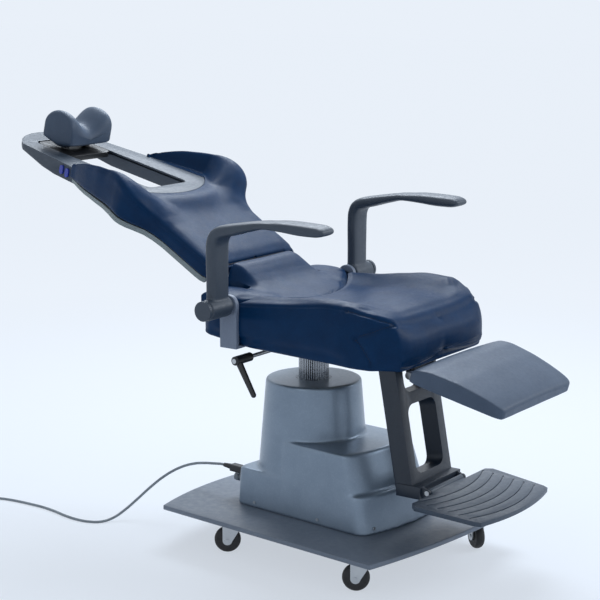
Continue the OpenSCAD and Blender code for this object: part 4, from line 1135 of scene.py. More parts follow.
def eased(mesh: Mesh, values: Array, rounds: int) -> Array:
    """Evens out values on a mesh's points by averaging them with their neighbours'.

    Args:
        mesh: the mesh.
        values: three values for each point.
        rounds: how many times they are averaged.

    Returns:
        The evened values.
    """
    ends = np.empty(len(mesh.edges) * 2, dtype=np.int64)
    mesh.edges.foreach_get("vertices", ends)
    a, b = ends[0::2], ends[1::2]
    n = len(values)
    count = np.maximum(np.bincount(ends, minlength=n), 1)[:, None]
    for _ in range(rounds):
        total = [np.bincount(a, column[b], n) + np.bincount(b, column[a], n) for column in values.T]
        values = (values + np.stack(total, axis=1) / count) / 2
    return values


@dataclass
class Hollow:
    """A closed shape that is cut out of a cushion: an outline drawn out straight.

    Attributes:
        outline: its corners, in order.
        low: start of the draw.
        high: end of the draw.
        place: takes points of outline, outline and draw, and gives their places in the shared frame.
        both: whether it is mirrored to the other side.
    """

    outline: Array
    low: float
    high: float
    place: Callable[[Array], Array] = about_column
    both: bool = False

    def shapes(self) -> list[Skin]:
        """Vertices and faces of the cutter, and of its mirrored twin.

        Returns:
            One or two skins.
        """
        n = len(self.outline)
        flat = np.array(self.outline, float)
        drawn = [np.column_stack([flat, np.full(n, h)]) for h in (self.low, self.high)]
        points = self.place(np.concatenate(drawn))
        faces = [[i, (i + 1) % n, n + (i + 1) % n, n + i] for i in range(n)]
        faces += [list(range(n))[::-1], list(range(n, 2 * n))]
        return [(points, faces), (points * MIRROR, faces)][: 1 + self.both]


class Loft:
    """A cushion's form as rounded sections, each given by its share of the length.

    Attributes:
        long: the form's length.
        rear: its rear end's distance behind the column.
        count: how many sections.
        around: points in each.
        aspect: their width over height, for even points.
        power: their squareness.
    """

    long: float
    rear: float
    count: int
    around: int
    aspect: float
    power: float

    def rings(self) -> Array:
        """The sections at even distances along the form's profile.

        Returns:
            An array of rings by points by three.
        """
        t = np.linspace(0, 1, 3001)
        run = distances(self.profile(t))
        t = np.interp(np.linspace(0, run[-1], self.count), run, t)
        square = rounded_square(self.power, self.around, self.aspect)
        u, v = square[:, 0][None], square[:, 1][None]
        high, under = self.top(t[:, None], u), self.low(t)[:, None]
        across = self.half(t)[:, None] * u
        height = (high + under) / 2 + (high - under) / 2 * v
        return self.place(np.broadcast_to(t[:, None], across.shape), across, height)

    def place(self, t: Array, y: Array, z: Array) -> Array:
        """Points from the share of the length, the place across and the height."""
        return np.stack([COLUMN_X - self.rear + t * self.long, y, z], axis=-1)

    def seams(self) -> tuple[Seam, ...]:
        """Its sewn lines, none unless a form has its own."""
        return ()

    def settle(self, co: Array, normal: Array) -> Array:
        """Last change of each point along its normal, none unless a form has its own."""
        return np.zeros(len(co))


@dataclass(frozen=True)
class SeatForm(Loft):
    """The seat cushion's form: rounded sections along it, a hollow for the sitter and a nosed front.

    Attributes:
        half_wide: half of its width.
        bottom: height of its underside.
        crown: height of its highest point.
        scoop: depth of the sitter's hollow.
        slot: from where to where across the slots for the hinge arms run.
        slot_end: how far forward they run.
        arm: how far out the hinge arms' middles are.
        seam_front: where the rear pad's seam crosses the middle.
        seam_bow: how far it falls back at the sides.
        rows: share of the length, of the half width, of the fall of the top and the rise of the underside,
            and of the hollow.
    """

    half_wide: float = 0.245
    bottom: float = 0.516
    crown: float = 0.673
    scoop: float = 0.026
    slot: tuple[float, float] = (0.142, 0.158)
    slot_end: float = -0.09
    arm: float = 0.150
    seam_front: float = 0.045
    seam_bow: float = 0.115
    rows: tuple[tuple[float, ...], ...] = (
        (0, 0.93, 0.23, 0.242, 0), (0.018, 0.975, 0.2, 0.235, 0), (0.05, 1, 0.18, 0.215, 0),
        (0.17, 1, 0.16, 0.15, 0), (0.265, 1, 0.134, 0.102, 0.2), (0.36, 1, 0.105, 0.088, 0.75),
        (0.446, 1, 0.083, 0.076, 1), (0.56, 1, 0.04, 0.06, 1), (0.68, 1, 0.003, 0.045, 1),
        (0.786, 1, 0.02, 0.025, 0.9), (0.866, 0.965, 0.1, 0.013, 0.6), (0.93, 0.865, 0.175, 0.006, 0.3),
        (0.955, 0.825, 0.215, 0.003, 0.15), (0.975, 0.8, 0.285, 0, 0.08), (0.988, 0.785, 0.38, 0.004, 0.04),
        (0.996, 0.776, 0.55, 0.025, 0.01), (1, 0.77, 0.82, 0.08, 0),
    )
    long: float = 0.543
    rear: float = 0.170
    count: int = 118
    around: int = 216
    aspect: float = 2.6
    power: float = 18

    def share(self, t: Array, k: int) -> Array:
        """A column of the table at shares of the length."""
        return table(self.rows, np.ravel(t))[:, k]

    def half(self, t: Array) -> Array:
        """Half width."""
        return self.half_wide * self.share(t, 0)

    def low(self, t: Array) -> Array:
        """Height of the underside."""
        return self.bottom + (self.crown - self.bottom) * self.share(t, 2)

    def crest(self, t: Array) -> Array:
        """Height of the top at its edges."""
        return self.crown - (self.crown - self.bottom) * self.share(t, 1)

    def top(self, t: Array, u: Array) -> Array:
        """Height of the top at shares of the length and of the half width."""
        hollow = self.scoop * self.share(t, 3)[:, None] * (1 - smooth((np.abs(u) - 0.45) / 0.45))
        return self.crest(t)[:, None] - hollow - 0.004 * np.abs(u) ** 12

    def profile(self, t: Array) -> Array:
        """The line along which the sections are evenly spaced."""
        return np.stack([t * self.long, self.crest(t)], axis=1)

    def seam_x(self, y: Array) -> Array:
        """Where the rear pad's seam lies, in metres about the column."""
        return self.seam_front - self.seam_bow * (y / self.half_wide) ** 2

    def arm_slot(self) -> Hollow:
        """The slots that clear the hinge arms."""
        return Hollow(box_outline(-0.2, self.slot[0], self.slot_end, self.slot[1]), 0.49, 0.74, both=True)

    def hollows(self) -> tuple[Hollow, ...]:
        """The pocket over the board, the bed of the rear pad, and the slots for the hinge arms and brackets.

        Returns:
            The hollows.
        """
        back, far = -self.rear + 0.02, 0.26
        pocket = [(back, 0.225), (0.27, 0.225), (0.333, 0.17), (0.333, -0.17), (0.27, -0.225), (back, -0.225)]
        y = np.linspace(-far, far, 41)
        bed = np.concatenate([np.column_stack([self.seam_x(y), y]), [(-0.2, far), (-0.2, -far)]])
        bracket = box_outline(-0.096, 0.224, -0.044, 0.27)
        return (
            Hollow(np.array(pocket), 0.49, 0.5644), Hollow(bed, 0.628, 0.76), self.arm_slot(),
            Hollow(bracket, 0.49, 0.5404, both=True),
        )

    def seams(self) -> tuple[Seam, ...]:
        """The seat's sewn lines: along its upper edge, and a V on each side that runs round under the apron.

        Returns:
            The seams.
        """
        x = np.array([-165, -100, -30, 40, 110, 180, 225, 257])
        edge = self.crest((x * MM + self.rear) / self.long) / MM - 9
        upper = np.column_stack([x, 0 * x - 245, edge])
        side = (
            upper[-1], (290, -236, 656), (325, -212, 642), (355, -189, 630), (322, -212, 616),
            (281, -245, 598),
        )
        lower = ((281, -245, 598), (305, -246, 565), (331, -245, 529))
        front = ((355, -189, 630), (366, -120, 628), (371, -50, 627), (372, 0, 627))
        y = np.linspace(-0.238, 0, 12)
        bed = np.column_stack([self.seam_x(y), y, 0 * y + 0.648]) / MM
        plain = {"gather": 0.0, "thread": False}
        return (
            Seam(upper, depth=0.0016, width=0.0028, **plain),
            Seam(side, depth=0.0036, width=0.0042, swell=0.0012),
            Seam(lower, depth=0.0034, width=0.0042),
            Seam(front, depth=0.0026, width=0.010, swell=0.0, **plain),
            Seam(bed, depth=0.0032, width=0.0055, swell=0.0, **plain),
        )

    def still(self, co: Array, normal: Array) -> Array:
        """How much each point swells: nothing below and by the slots."""
        slot = (np.abs(np.abs(co[:, 1]) - self.arm) < 0.034) & (co[:, 0] - COLUMN_X < -0.078)
        return smooth((normal[:, 2] + 0.85) / 0.5) * np.where(slot, 0.0, 1.0)

    def settle(self, co: Array, normal: Array) -> Array:
        """Fullness of the front apron and of the sides, and fine puckers at the V's corner.

        Args:
            co: the cover's points.
            normal: its normals.

        Returns:
            Lengths along the normals.
        """
        apron_x, apron_y, apron_z, apron_full = 0.25, 0.22, 0.582, 0.007
        side_x, side_y, side_z, side_full = 0.08, 0.2, 0.588, 0.002
        corner_x, corner_y, reach, fold, slant, pucker_high = 0.285, 0.205, 0.035, 0.021, 0.7, 0.0003
        x, y, z = co[:, 0] - COLUMN_X, np.abs(co[:, 1]), co[:, 2]
        front = smooth((x - apron_x) / 0.07) * hump(z, apron_z, 0.032) * smooth((apron_y - y) / 0.06)
        side = hump(x, side_x, 0.15) * hump(z, side_z, 0.035) * smooth((y - side_y) / 0.03)
        near = hump(np.hypot(x - corner_x, y - corner_y), 0, reach)
        pucker = near * np.sin((x + slant * y) * 2 * np.pi / fold)
        return apron_full * front + side_full * side + pucker_high * pucker * smooth(normal[:, 2] * 2)


@dataclass(frozen=True)
class SaddleForm(Loft):
    """The raised rear pad's form: a tongue that climbs to the back, and low shoulders by the hinge arms.

    Attributes:
        seat: the seat that it lies on.
        bottom: height of its underside.
        crown: height that its rows are shares of.
        tongue: half width of the tongue, and over how much it falls to the shoulders.
        rows: share of the length, of the tongue's height and of the shoulders'.
    """

    seat: SeatForm = SeatForm()
    bottom: float = 0.6284
    crown: float = 0.710
    tongue: tuple[float, float] = (0.118, 0.034)
    rows: tuple[tuple[float, ...], ...] = (
        (0, 0.9, 0.32), (0.03, 1, 0.37), (0.12, 0.95, 0.39), (0.22, 0.8, 0.4), (0.32, 0.62, 0.39),
        (0.42, 0.46, 0.36), (0.52, 0.34, 0.32), (0.62, 0.25, 0.28), (0.72, 0.185, 0.24), (0.82, 0.14, 0.2),
        (0.91, 0.1, 0.15), (0.97, 0.07, 0.08), (1.0, 0.05, 0.05),
    )
    long: float = 0.211
    rear: float = 0.166
    count: int = 64
    around: int = 190
    aspect: float = 7.0
    power: float = 12

    def half(self, t: Array) -> Array:
        """Half width: as wide as the seat, and bounded by its seam in front."""
        room = np.maximum(self.seat.seam_front - (t * self.long - self.rear), 0.0006)
        return np.minimum(0.2446, self.seat.half_wide * np.sqrt(room / self.seat.seam_bow))

    def low(self, t: Array) -> Array:
        """Height of the underside."""
        return self.bottom + 0 * t

    def top(self, t: Array, u: Array) -> Array:
        """Height of the top, with the raised tongue in the middle.

        Args:
            t: shares of the length.
            u: shares of the half width.

        Returns:
            Heights.
        """
        k = table(self.rows, t[:, 0])
        inside = 1 - smooth((np.abs(u) * self.half(t) - self.tongue[0]) / self.tongue[1])
        rise = k[:, 1:2] + (k[:, :1] - k[:, 1:2]) * inside
        return self.bottom + (self.crown - self.bottom) * rise * (1 - 0.10 * np.abs(u) ** 8)

    def profile(self, t: Array) -> Array:
        """The line along which the sections are evenly spaced."""
        return np.stack([t * self.long, (self.crown - self.bottom) * table(self.rows, t)[:, 0]], axis=1)

    def hollows(self) -> tuple[Hollow, ...]:
        """The slots that clear the hinge arms."""
        return (self.seat.arm_slot(),)

    def still(self, co: Array, normal: Array) -> Array:
        """How much each point swells: its top alone, and less by the slots and the rear.

        Args:
            co: points.
            normal: their normals.

        Returns:
            Shares from 0 to 1.
        """
        half_slot, slot_end, rear_fade = 0.030, -0.078, 0.02
        x = co[:, 0] - COLUMN_X
        slot = (np.abs(np.abs(co[:, 1]) - self.seat.arm) < half_slot) & (x < slot_end)
        top = smooth((normal[:, 2] + 0.1) / 0.5)
        return top * np.where(slot, 0.0, 1.0) * smooth((x + self.rear) / rear_fade)


@dataclass(frozen=True)
class BackForm(Loft):
    """The back cushion's form, along a line that bends from the hinge's slope to the track's.

    Places along it are called s, and heights over the line h.

    Attributes:
        foot: where the line starts, in X and Z about the column.
        slope: the line's slope at its foot, in degrees.
        track: its slope along the headrest's track.
        low_back: distance from its foot to where the two slopes would cross.
        bend_r: radius of the bend between them.
        narrow: half width at the foot.
        wide: half width at the wings.
        wing_h: height of the wings.
        deep: thickness.
        nose: how far the lower end goes on past the foot.
        hinge_depth: depth of the hinge's middle below the line.
        hinge_room: radius of the slots round the hinge arms.
        tip_x: middle of the track's round end, in the track's frame.
        tip_r: its radius.
        taper: the track's half width at a place of its frame, that place, and its growth along.
        rows: share of the length, of the widening, of the wings' height and of the thickness.
    """

    foot: tuple[float, float] = (-0.187, 0.712)
    slope: float = 32.2
    track: float = 13.5
    low_back: float = 0.287
    bend_r: float = 0.300
    narrow: float = 0.180
    wide: float = 0.243
    wing_h: float = 0.060
    deep: float = 0.044
    nose: float = 0.0215
    hinge_depth: float = 0.029
    hinge_room: float = 0.0195
    tip_x: float = -0.192
    tip_r: float = 0.218
    taper: Point = (0.178, -0.068, 0.050 / 0.370)
    rows: tuple[tuple[float, ...], ...] = (
        (0, -0.16, 0, 1), (0.02, -0.06, 0, 1), (0.05, -0.03, 0, 1), (0.165, 0, 0, 1), (0.28, 0.03, 0, 1),
        (0.34, 0.12, 0.06, 1), (0.386, 0.27, 0.2, 1), (0.424, 0.53, 0.37, 1), (0.457, 0.79, 0.55, 0.99),
        (0.49, 0.95, 0.7, 0.97), (0.522, 1, 0.83, 0.95), (0.56, 0.94, 0.95, 0.93), (0.6, 0.83, 1, 0.91),
        (0.665, 0.67, 0.97, 0.84), (0.733, 0.52, 0.9, 0.79), (0.78, 0.39, 0.82, 0.76),
        (0.834, 0.24, 0.72, 0.74), (0.9, 0.01, 0.56, 0.69), (0.954, -0.22, 0.42, 0.66),
        (0.985, -0.31, 0.3, 0.63), (1, -0.42, 0.12, 0.6),
    )
    long: float = 0.525
    count: int = 132
    around: int = 210
    aspect: float = 6.0
    power: float = 16

    @staticmethod
    def up(angle: Array) -> Array:
        """Unit step up the back at a slope in degrees, in X and Z."""
        return np.stack([-np.cos(np.radians(angle)), np.sin(np.radians(angle))], axis=-1)

    @staticmethod
    def out(angle: Array) -> Array:
        """Unit step out of the back's face at a slope in degrees, in X and Z."""
        return np.stack([np.sin(np.radians(angle)), np.cos(np.radians(angle))], axis=-1)

    @property
    def bend_at(self) -> Array:
        """Where the two straight lines of the back cross, in X and Z about the column."""
        return np.array(self.foot) + self.low_back * self.up(self.slope)

    def line(self, s: Array) -> tuple[Array, Array]:
        """The back's line and its slope at places along it.

        Args:
            s: places along.

        Returns:
            Points in X and Z about the column, and slopes in degrees.
        """
        bend = self.slope - self.track
        tangent = self.bend_r * math.tan(math.radians(bend / 2))
        start, arc = self.low_back - tangent, self.bend_r * math.radians(bend)
        angle = self.slope - bend * np.clip((s - start) / arc, 0, 1)
        low = np.array(self.foot) + s[..., None] * self.up(self.slope)
        high = self.bend_at + (tangent + s - start - arc)[..., None] * self.up(self.track)
        middle = np.array(self.foot) + start * self.up(self.slope)
        middle = middle + self.bend_r * (self.out(angle) - self.out(self.slope))
        first, last = (s <= start)[..., None], (s >= start + arc)[..., None]
        return np.where(first, low, np.where(last, high, middle)), angle

    def at(self, s: Array, y: Array, h: Array) -> Array:
        """Puts places along, across and over the line into the shared frame.

        Args:
            s: places along the line.
            y: places across.
            h: heights over the line.

        Returns:
            Points.
        """
        base, angle = self.line(s)
        point = base + h[..., None] * self.out(angle)
        return np.stack([point[..., 0] + COLUMN_X, y, point[..., 1]], axis=-1)

    def on_track(self, points: Array) -> Array:
        """Points of the track's own frame in the shared frame."""
        x, z = self.bend_at
        return tilted(points, (COLUMN_X + x, 0, z), self.track)

    def track_side(self, x: Array) -> Array:
        """Half the track's width at places of its own frame."""
        half, place, growth = self.taper
        return half + growth * (x - place)

    def outside(self, x: Array, y: Array) -> Array:
        """How far places of the track's frame lie outside its outline.

        Args:
            x: places along the track.
            y: places across it.

        Returns:
            Distances, negative inside.
        """
        side = np.abs(y) - self.track_side(x)
        tip = np.hypot(x - self.tip_x, y) - self.tip_r
        return np.where(x > self.tip_x, np.maximum(side, tip), side)

    def shares(self, s: Array) -> Array:
        """The table's columns at places along: widening, wings and thickness."""
        return table(self.rows, np.clip(np.ravel(s), 0, None) / self.long)

    def half_at(self, k: Array) -> Array:
        """Half width from shares of the widening."""
        return self.narrow + k * (self.wide - self.narrow)

    def face(self, s: Array, y: Array, u: Array) -> Array:
        """Height of the face: the crown, the wings, and a flush bed round the track.

        Args:
            s: places along.
            y: places across.
            u: shares across.

        Returns:
            Heights over the line.
        """
        sunk, rim, reach, bulge = 0.0008, 0.003, 0.045, 0.002
        wing_from, wing_to, wing_share = 0.42, 0.86, 0.8
        k = self.shares(s)
        half = self.half_at(k[:, :1])
        base, angle = self.line(s[:, 0])
        away = base - self.bend_at
        x, z = (away @ -self.up(self.track))[:, None], (away @ self.out(self.track))[:, None]
        arc = np.sqrt(np.maximum(self.tip_r**2 - (x - self.tip_x) ** 2, 0))
        side = self.track_side(x)
        edge = np.where(x > self.tip_x, np.minimum(arc, side), side) + rim
        start = ((wing_from * half) ** 6 + edge**6) ** (1 / 6)
        end = np.maximum(wing_to * half, start + wing_share * (half - start))
        wing = self.wing_h * k[:, 1:2] * smooth((np.abs(y) - start) / (end - start))
        h = wing + bulge * (1 - u**2)
        flush = (-sunk - z) / np.cos(np.radians(angle - self.track))[:, None]
        near = hump(np.maximum(self.outside(x, y), 0), 0, reach) * smooth((x + 0.16) / 0.1)
        return h + near * np.maximum(flush - h, 0) - 0.003 * np.abs(u) ** 14

    @property
    def middle(self) -> float:
        """Height of the thickness's middle at the lower end, round which the end is rounded."""
        return (0.001 - self.deep) / 2

    def place_at(self, t: Array) -> Array:
        """Places along the line at shares of the length."""
        return -self.nose + t * (self.long + self.nose)

    def roundness(self, t: Array) -> Array:
        """Share of its full thickness that the lower end has."""
        return np.sqrt(np.clip(1 - (np.minimum(self.place_at(t), 0) / (self.nose + 0.0002)) ** 2, 0, 1))

    def half(self, t: Array) -> Array:
        """Half width."""
        return self.half_at(self.shares(self.place_at(t))[:, 0]) - 0.004 * (1 - self.roundness(t))

    def top(self, t: Array, u: Array) -> Array:
        """Height of the face at shares of the length and of the half width."""
        h = self.face(self.place_at(t), self.half(t[:, 0])[:, None] * u, u)
        return self.middle + (h - self.middle) * self.roundness(t)

    def low(self, t: Array) -> Array:
        """Height of the rear side."""
        k = self.shares(self.place_at(t))[:, 2]
        return self.middle + (-k * self.deep - self.middle) * self.roundness(t)

    def profile(self, t: Array) -> Array:
        """The line along which the sections are evenly spaced."""
        return np.stack([self.place_at(t), self.middle * (1 - self.roundness(t)) * 2], axis=1)

    def place(self, t: Array, y: Array, z: Array) -> Array:
        """Points from the share of the length, the place across and the height over the line."""
        return self.at(self.place_at(t), y, z)

    def hollows(self) -> tuple[Hollow, ...]:
        """The track's bed, and the slots that clear the hinge arms.

        Returns:
            The hollows.
        """
        gap, far, past = 0.0012, -0.34, 0.07
        y = np.linspace(-0.16, 0.16, 49)
        x = self.tip_x + np.sqrt((self.tip_r + gap) ** 2 - y**2)
        arc = np.column_stack([x, y])[np.abs(y) <= self.track_side(x) + gap]
        side = self.track_side(far) + gap
        bed = np.concatenate([arc, [(far, side), (far, -side)]])
        up, out = self.up(self.slope), self.out(self.slope)
        hinge = np.array(self.foot) - self.hinge_depth * out
        a = np.radians(np.linspace(-90, 90, 19))[:, None]
        head = self.hinge_room * (np.cos(a) * up + np.sin(a) * out)
        slot = np.concatenate([hinge + head, hinge - past * up + np.outer([past, -past], out)])
        return Hollow(bed, -0.12, 0.2, self.on_track), Hollow(slot, 0.142, 0.158, drawn_across, True)

    def seams(self) -> tuple[Seam, ...]:
        """The sewn line along each upper edge of the back, and across its lower end.

        Returns:
            The seams.
        """
        s = np.array([2, 20, 60, 100, 140, 170, 200, 220, 240, 260, 280, 310, 350, 390, 430, 470, 500]) * MM
        k = self.shares(s)
        y = np.linspace(-0.125, 0, 8)
        upper = self.at(s, -self.half_at(k[:, 0]), self.wing_h * k[:, 1] - 0.009)
        cross = self.at(0 * y - 0.009, y, 0 * y - 0.003)
        plain = {"gather": 0.0, "thread": False}
        return (
            Seam(from_column(upper) / MM, depth=0.0018, width=0.0028, **plain),
            # The cross seam's dark tube is painted shade: the shadow line under the back's lower edge.
            Seam(from_column(cross) / MM, depth=0.0052, width=0.0042, swell=0.0, shade_tube=0.0022, **plain),
        )

    def still(self, co: Array, normal: Array) -> Array:
        """How much each point swells: its face and wings, but not its rear, its bed or its lower end.

        Args:
            co: the cover's points.
            normal: its normals.

        Returns:
            Shares from 0 to 1.
        """
        mean_slope, margin, foot_margin = 25, 0.03, 0.01
        away = from_column(co)[:, [0, 2]] - self.bend_at
        out = self.outside(away @ -self.up(self.track), co[:, 1])
        face = normal[:, [0, 2]] @ self.out(mean_slope)
        low = smooth((self.foot[0] + foot_margin - (co[:, 0] - COLUMN_X)) / margin)
        return smooth((face + 0.3) / 0.6) * smooth(out / margin) * low


@dataclass(frozen=True)
class Upholstery:
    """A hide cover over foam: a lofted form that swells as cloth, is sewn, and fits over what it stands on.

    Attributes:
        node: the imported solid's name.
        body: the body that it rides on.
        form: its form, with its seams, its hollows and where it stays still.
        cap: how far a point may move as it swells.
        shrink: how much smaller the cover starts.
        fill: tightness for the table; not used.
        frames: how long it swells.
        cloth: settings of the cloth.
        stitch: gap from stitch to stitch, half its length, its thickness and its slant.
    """

    node: str
    body: str
    form: Loft
    cap: float
    shrink: float = 0.0012
    fill: float = 0.8
    frames: int = 20
    cloth: tuple[tuple[str, float], ...] = (
        ("quality", 4), ("mass", 0.25), ("tension_stiffness", 12), ("compression_stiffness", 12),
        ("shear_stiffness", 6), ("bending_stiffness", 4), ("use_pressure", True),
        ("uniform_pressure_force", 4.0),
    )
    stitch: tuple[float, float, float, float] = (0.0058, 0.0019, 0.00055, 0.16)

    def blown(self, piece: Object, start: Array) -> Array:
        """How far each point moves as the cover swells as cloth under air pressure.

        Args:
            piece: the closed mesh.
            start: its points before it was shrunk.

        Returns:
            The points' moves, without their common drift.
        """
        added = modifier(piece, "CLOTH")
        for key, value in self.cloth:
            setattr(added.settings, key, value)
        added.settings.effector_weights.gravity = 0.0
        added.collision_settings.use_collision = False
        added.point_cache.frame_start, added.point_cache.frame_end = 1, self.frames
        for frame in range(1, self.frames + 1):
            bpy.context.scene.frame_set(frame)
        graph = bpy.context.evaluated_depsgraph_get()
        moved = coordinates(piece.evaluated_get(graph).data) - start
        piece.modifiers.clear()
        bpy.context.scene.frame_set(1)
        return moved - moved.mean(0)

    def swell(self, piece: Object) -> None:
        """Lets the cover swell up to the cap, and keeps the result without its noise.

        Args:
            piece: the closed mesh.
        """
        quick_share, rounds = 0.4, 10
        start, normal = surface(piece.data)
        share = self.form.still(start, normal)[:, None]
        move_points(piece.data, start - normal * self.shrink * share)
        moved = self.blown(piece, start)
        far = np.linalg.norm(moved, axis=1, keepdims=True)
        moved *= np.minimum(1.0, self.cap / np.maximum(far, 1e-9)) * share
        move_points(piece.data, start + eased(piece.data, moved, rounds))

    def sew(self, piece: Object) -> list[Skin]:
        """Presses each seam into the cover, with small gathers beside it.

        Args:
            piece: the cover.

        Returns:
            The skins of the stitches, and of the dark tubes of painted shade laid in grooves.
        """
        sunk, parts = 0.0007, []
        for seam in self.form.seams():
            for line in seam.lines():
                hits = [piece.closest_point_on_mesh(Vector(p)) for p in line]
                laid, facing = (np.array([hit[k] for hit in hits]) for k in (1, 2))
                co, normal = surface(piece.data)
                move_points(piece.data, co + normal * seam.relief(*nearest(co, laid))[:, None])
                laid = laid - facing * (seam.depth - sunk)
                # A dark tube laid deep in the groove is painted shade, a shadow line.
                if seam.shade_tube:
                    side = unit(np.cross(np.gradient(laid, axis=0), facing))
                    parts.append(closed_skin(laid[:, None] + seam.shade_tube * round_ring(6, side, facing), 1))
                elif seam.thread:
                    parts += self.stitches(laid, facing)
        return parts

    def stitches(self, line: Array, facing: Array) -> list[Skin]:
        """Short slanting stitches along a seam, each a small six-sided grain.

        Args:
            line: the seam's points.
            facing: the cover's normals there.

        Returns:
            One skin for each stitch.
        """
        gap, half, thick, slant = self.stitch
        margin, shoulder, tip = 0.006, 0.74, 0.25
        places = np.array([-1, -shoulder, shoulder, 1])[:, None, None] * half
        sizes = np.array([tip, 1, 1, tip])[:, None, None] * thick
        run, parts = distances(line), []
        for at in np.arange(margin, run[-1] - margin, gap):
            k = int(np.clip(np.searchsorted(run, at), 1, len(line) - 2))
            way = unit(line[k + 1] - line[k - 1])
            up = unit(facing[k] - way * (facing[k] @ way))
            side = np.cross(way, up)
            ring = sizes * round_ring(6, side, up)
            parts.append(closed_skin(line[k] + places * (way + slant * side) + ring, 1))
        return parts

    def cut(self, piece: Object) -> None:
        """Cuts the hollows out of the cover.

        Args:
            piece: the cover.
        """
        for number, hollow in enumerate(self.form.hollows()):
            tool = mesh_piece(f"{self.node}_hollow_{number}", hollow.shapes())
            modifier(piece, "BOOLEAN", operation="DIFFERENCE", solver="EXACT", object=tool)
            finished(piece)
            bpy.data.objects.remove(tool)

    def build(self) -> None:
        crease_angle, waves, wave_size = 42, 0.0004, 0.085
        piece = mesh_piece(self.node + "_cover", [closed_skin(self.form.rings(), 6)], 180)
        self.swell(piece)
        modifier(piece, "SUBSURF", levels=1, render_levels=1)
        finished(piece)
        co, normal = surface(piece.data)
        change = self.form.settle(co, normal) + waves * self.form.still(co, normal) * ripple(co, wave_size)
        move_points(piece.data, co + normal * change[:, None])
        threads_and_shade_tubes = self.sew(piece)
        self.cut(piece)
        shade(piece.data, crease_angle)
        placed(piece, self.body, "navy_leather", self.node)
        if threads_and_shade_tubes:
            # These pieces are the stitches and the dark tubes of painted shade; the back cushion's are painted
            # shade alone.
            sewn = mesh_piece(self.node + "_stitches", threads_and_shade_tubes, 180)
            placed(sewn, self.body, "navy_leather", finish="thread")


@dataclass(frozen=True)
class MouldedPad:
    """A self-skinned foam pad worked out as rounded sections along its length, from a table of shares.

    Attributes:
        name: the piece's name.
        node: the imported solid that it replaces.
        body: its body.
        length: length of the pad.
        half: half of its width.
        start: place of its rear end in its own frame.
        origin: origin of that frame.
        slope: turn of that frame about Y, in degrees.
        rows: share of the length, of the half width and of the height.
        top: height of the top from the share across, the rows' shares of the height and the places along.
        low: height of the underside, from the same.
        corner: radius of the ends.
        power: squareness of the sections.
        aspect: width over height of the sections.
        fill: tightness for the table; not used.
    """

    name: str
    node: str
    body: str
    length: float
    half: float
    start: float
    origin: Point
    slope: float
    rows: tuple[Point, ...]
    top: Callable[[Array, Array, Array], Array]
    low: Callable[[Array, Array, Array], Array]
    corner: float
    power: float
    aspect: float
    fill: float = 0.9

    def build(self) -> None:
        waves, wave_size = 0.0002, 0.06
        places, drawn = ease_ends(60, self.length, self.corner, 8)
        share = table(self.rows, places / self.length)
        square = rounded_square(self.power, 200, self.aspect)
        u, x, drawn = square[:, 0][None], (self.start + places)[:, None], drawn[:, None]
        top = self.top(u, share[:, 1:], x) - drawn
        low = self.low(u, share[:, 1:], x) + drawn
        across = (share[:, :1] * self.half - drawn) * u
        height = (top + low) / 2 + (top - low) / 2 * square[:, 1]
        rings = np.stack([np.broadcast_to(x, across.shape), across, height], axis=-1)
        piece = mesh_piece(self.name, [closed_skin(tilted(rings, self.origin, self.slope), 8)], 180)
        modifier(piece, "SUBSURF", levels=1, render_levels=1)
        finished(piece)
        co, normal = surface(piece.data)
        move_points(piece.data, co + normal * (waves * ripple(co, wave_size))[:, None])
        piece.data.shade_smooth()
        placed(piece, self.body, "pad_grey", self.node)


def lobes(u: Array, k: Array, x: Array) -> Array:
    """The headrest's top: an arch that is tall at both sides and low between them.

    Args:
        u: shares across, from -1 to 1.
        k: the rows' shares of the height.
        x: places along.

    Returns:
        Heights.
    """
    high, dip, dip_reach, sink = 0.0826, 0.041, 0.85, 0.002
    centre = 1 - smooth(np.abs(u) / dip_reach)
    return HEAD_LOW + (high - dip * centre) * k ** (1 + 1.1 * centre) - sink * np.abs(u) ** 16


def belly(u: Array, k: Array, x: Array) -> Array:
    """The headrest's underside: a keel that hangs over the carriage and clears it as it tilts."""
    hang, rise, side = 0.0213, 0.38, 0.35
    return HEAD_LOW - (hang - rise * np.abs(x)) * (1 - side * smooth((np.abs(u) - 0.5) / 0.5))


def dome(u: Array, k: Array, x: Array) -> Array:
    """The calf pad's top."""
    high, fall = 0.046, 0.005
    return CALF_LOW + high * k - fall * u**2


def base_of_calf(u: Array, k: Array, x: Array) -> Array:
    """The calf pad's flat underside."""
    return CALF_LOW + 0 * u


HEAD_LOW, CALF_LOW = 0.0104, 0.0444
HEADREST = MouldedPad(
    "headrest_pad", "headrest_cushion", "headrest", 0.106, 0.082, -0.053,
    tuple(BackForm().on_track(np.array([-0.369, 0.0, 0.014]))), BackForm().track,
    (
        (0, 0.94, 0.42), (0.02, 0.965, 0.56), (0.05, 0.98, 0.68), (0.1, 0.99, 0.79), (0.2, 1, 0.905),
        (0.3, 1, 0.96), (0.4, 1, 0.99), (0.5, 1, 1), (0.6, 1, 0.99), (0.7, 1, 0.96), (0.8, 1, 0.905),
        (0.9, 0.99, 0.79), (0.95, 0.98, 0.68), (0.98, 0.965, 0.56), (1, 0.94, 0.42),
    ),
    lobes, belly, 0.006, 10.0, 1.8,
)
CALF_REST = MouldedPad(
    "calf_rest_pad", "calf_pad", "calf_rest", 0.240, 0.198, 0.069, (COLUMN_X + 0.315, 0.0, 0.478), 15.5,
    (
        (0, 0.95, 0.62), (0.03, 0.98, 0.74), (0.1, 1, 0.94), (0.25, 0.985, 1.07), (0.45, 0.955, 1.07),
        (0.65, 0.925, 0.99), (0.82, 0.895, 0.87), (0.92, 0.875, 0.76), (0.97, 0.85, 0.68), (1, 0.81, 0.58),
    ),
    dome, base_of_calf, 0.005, 26.0, 7.0,
)


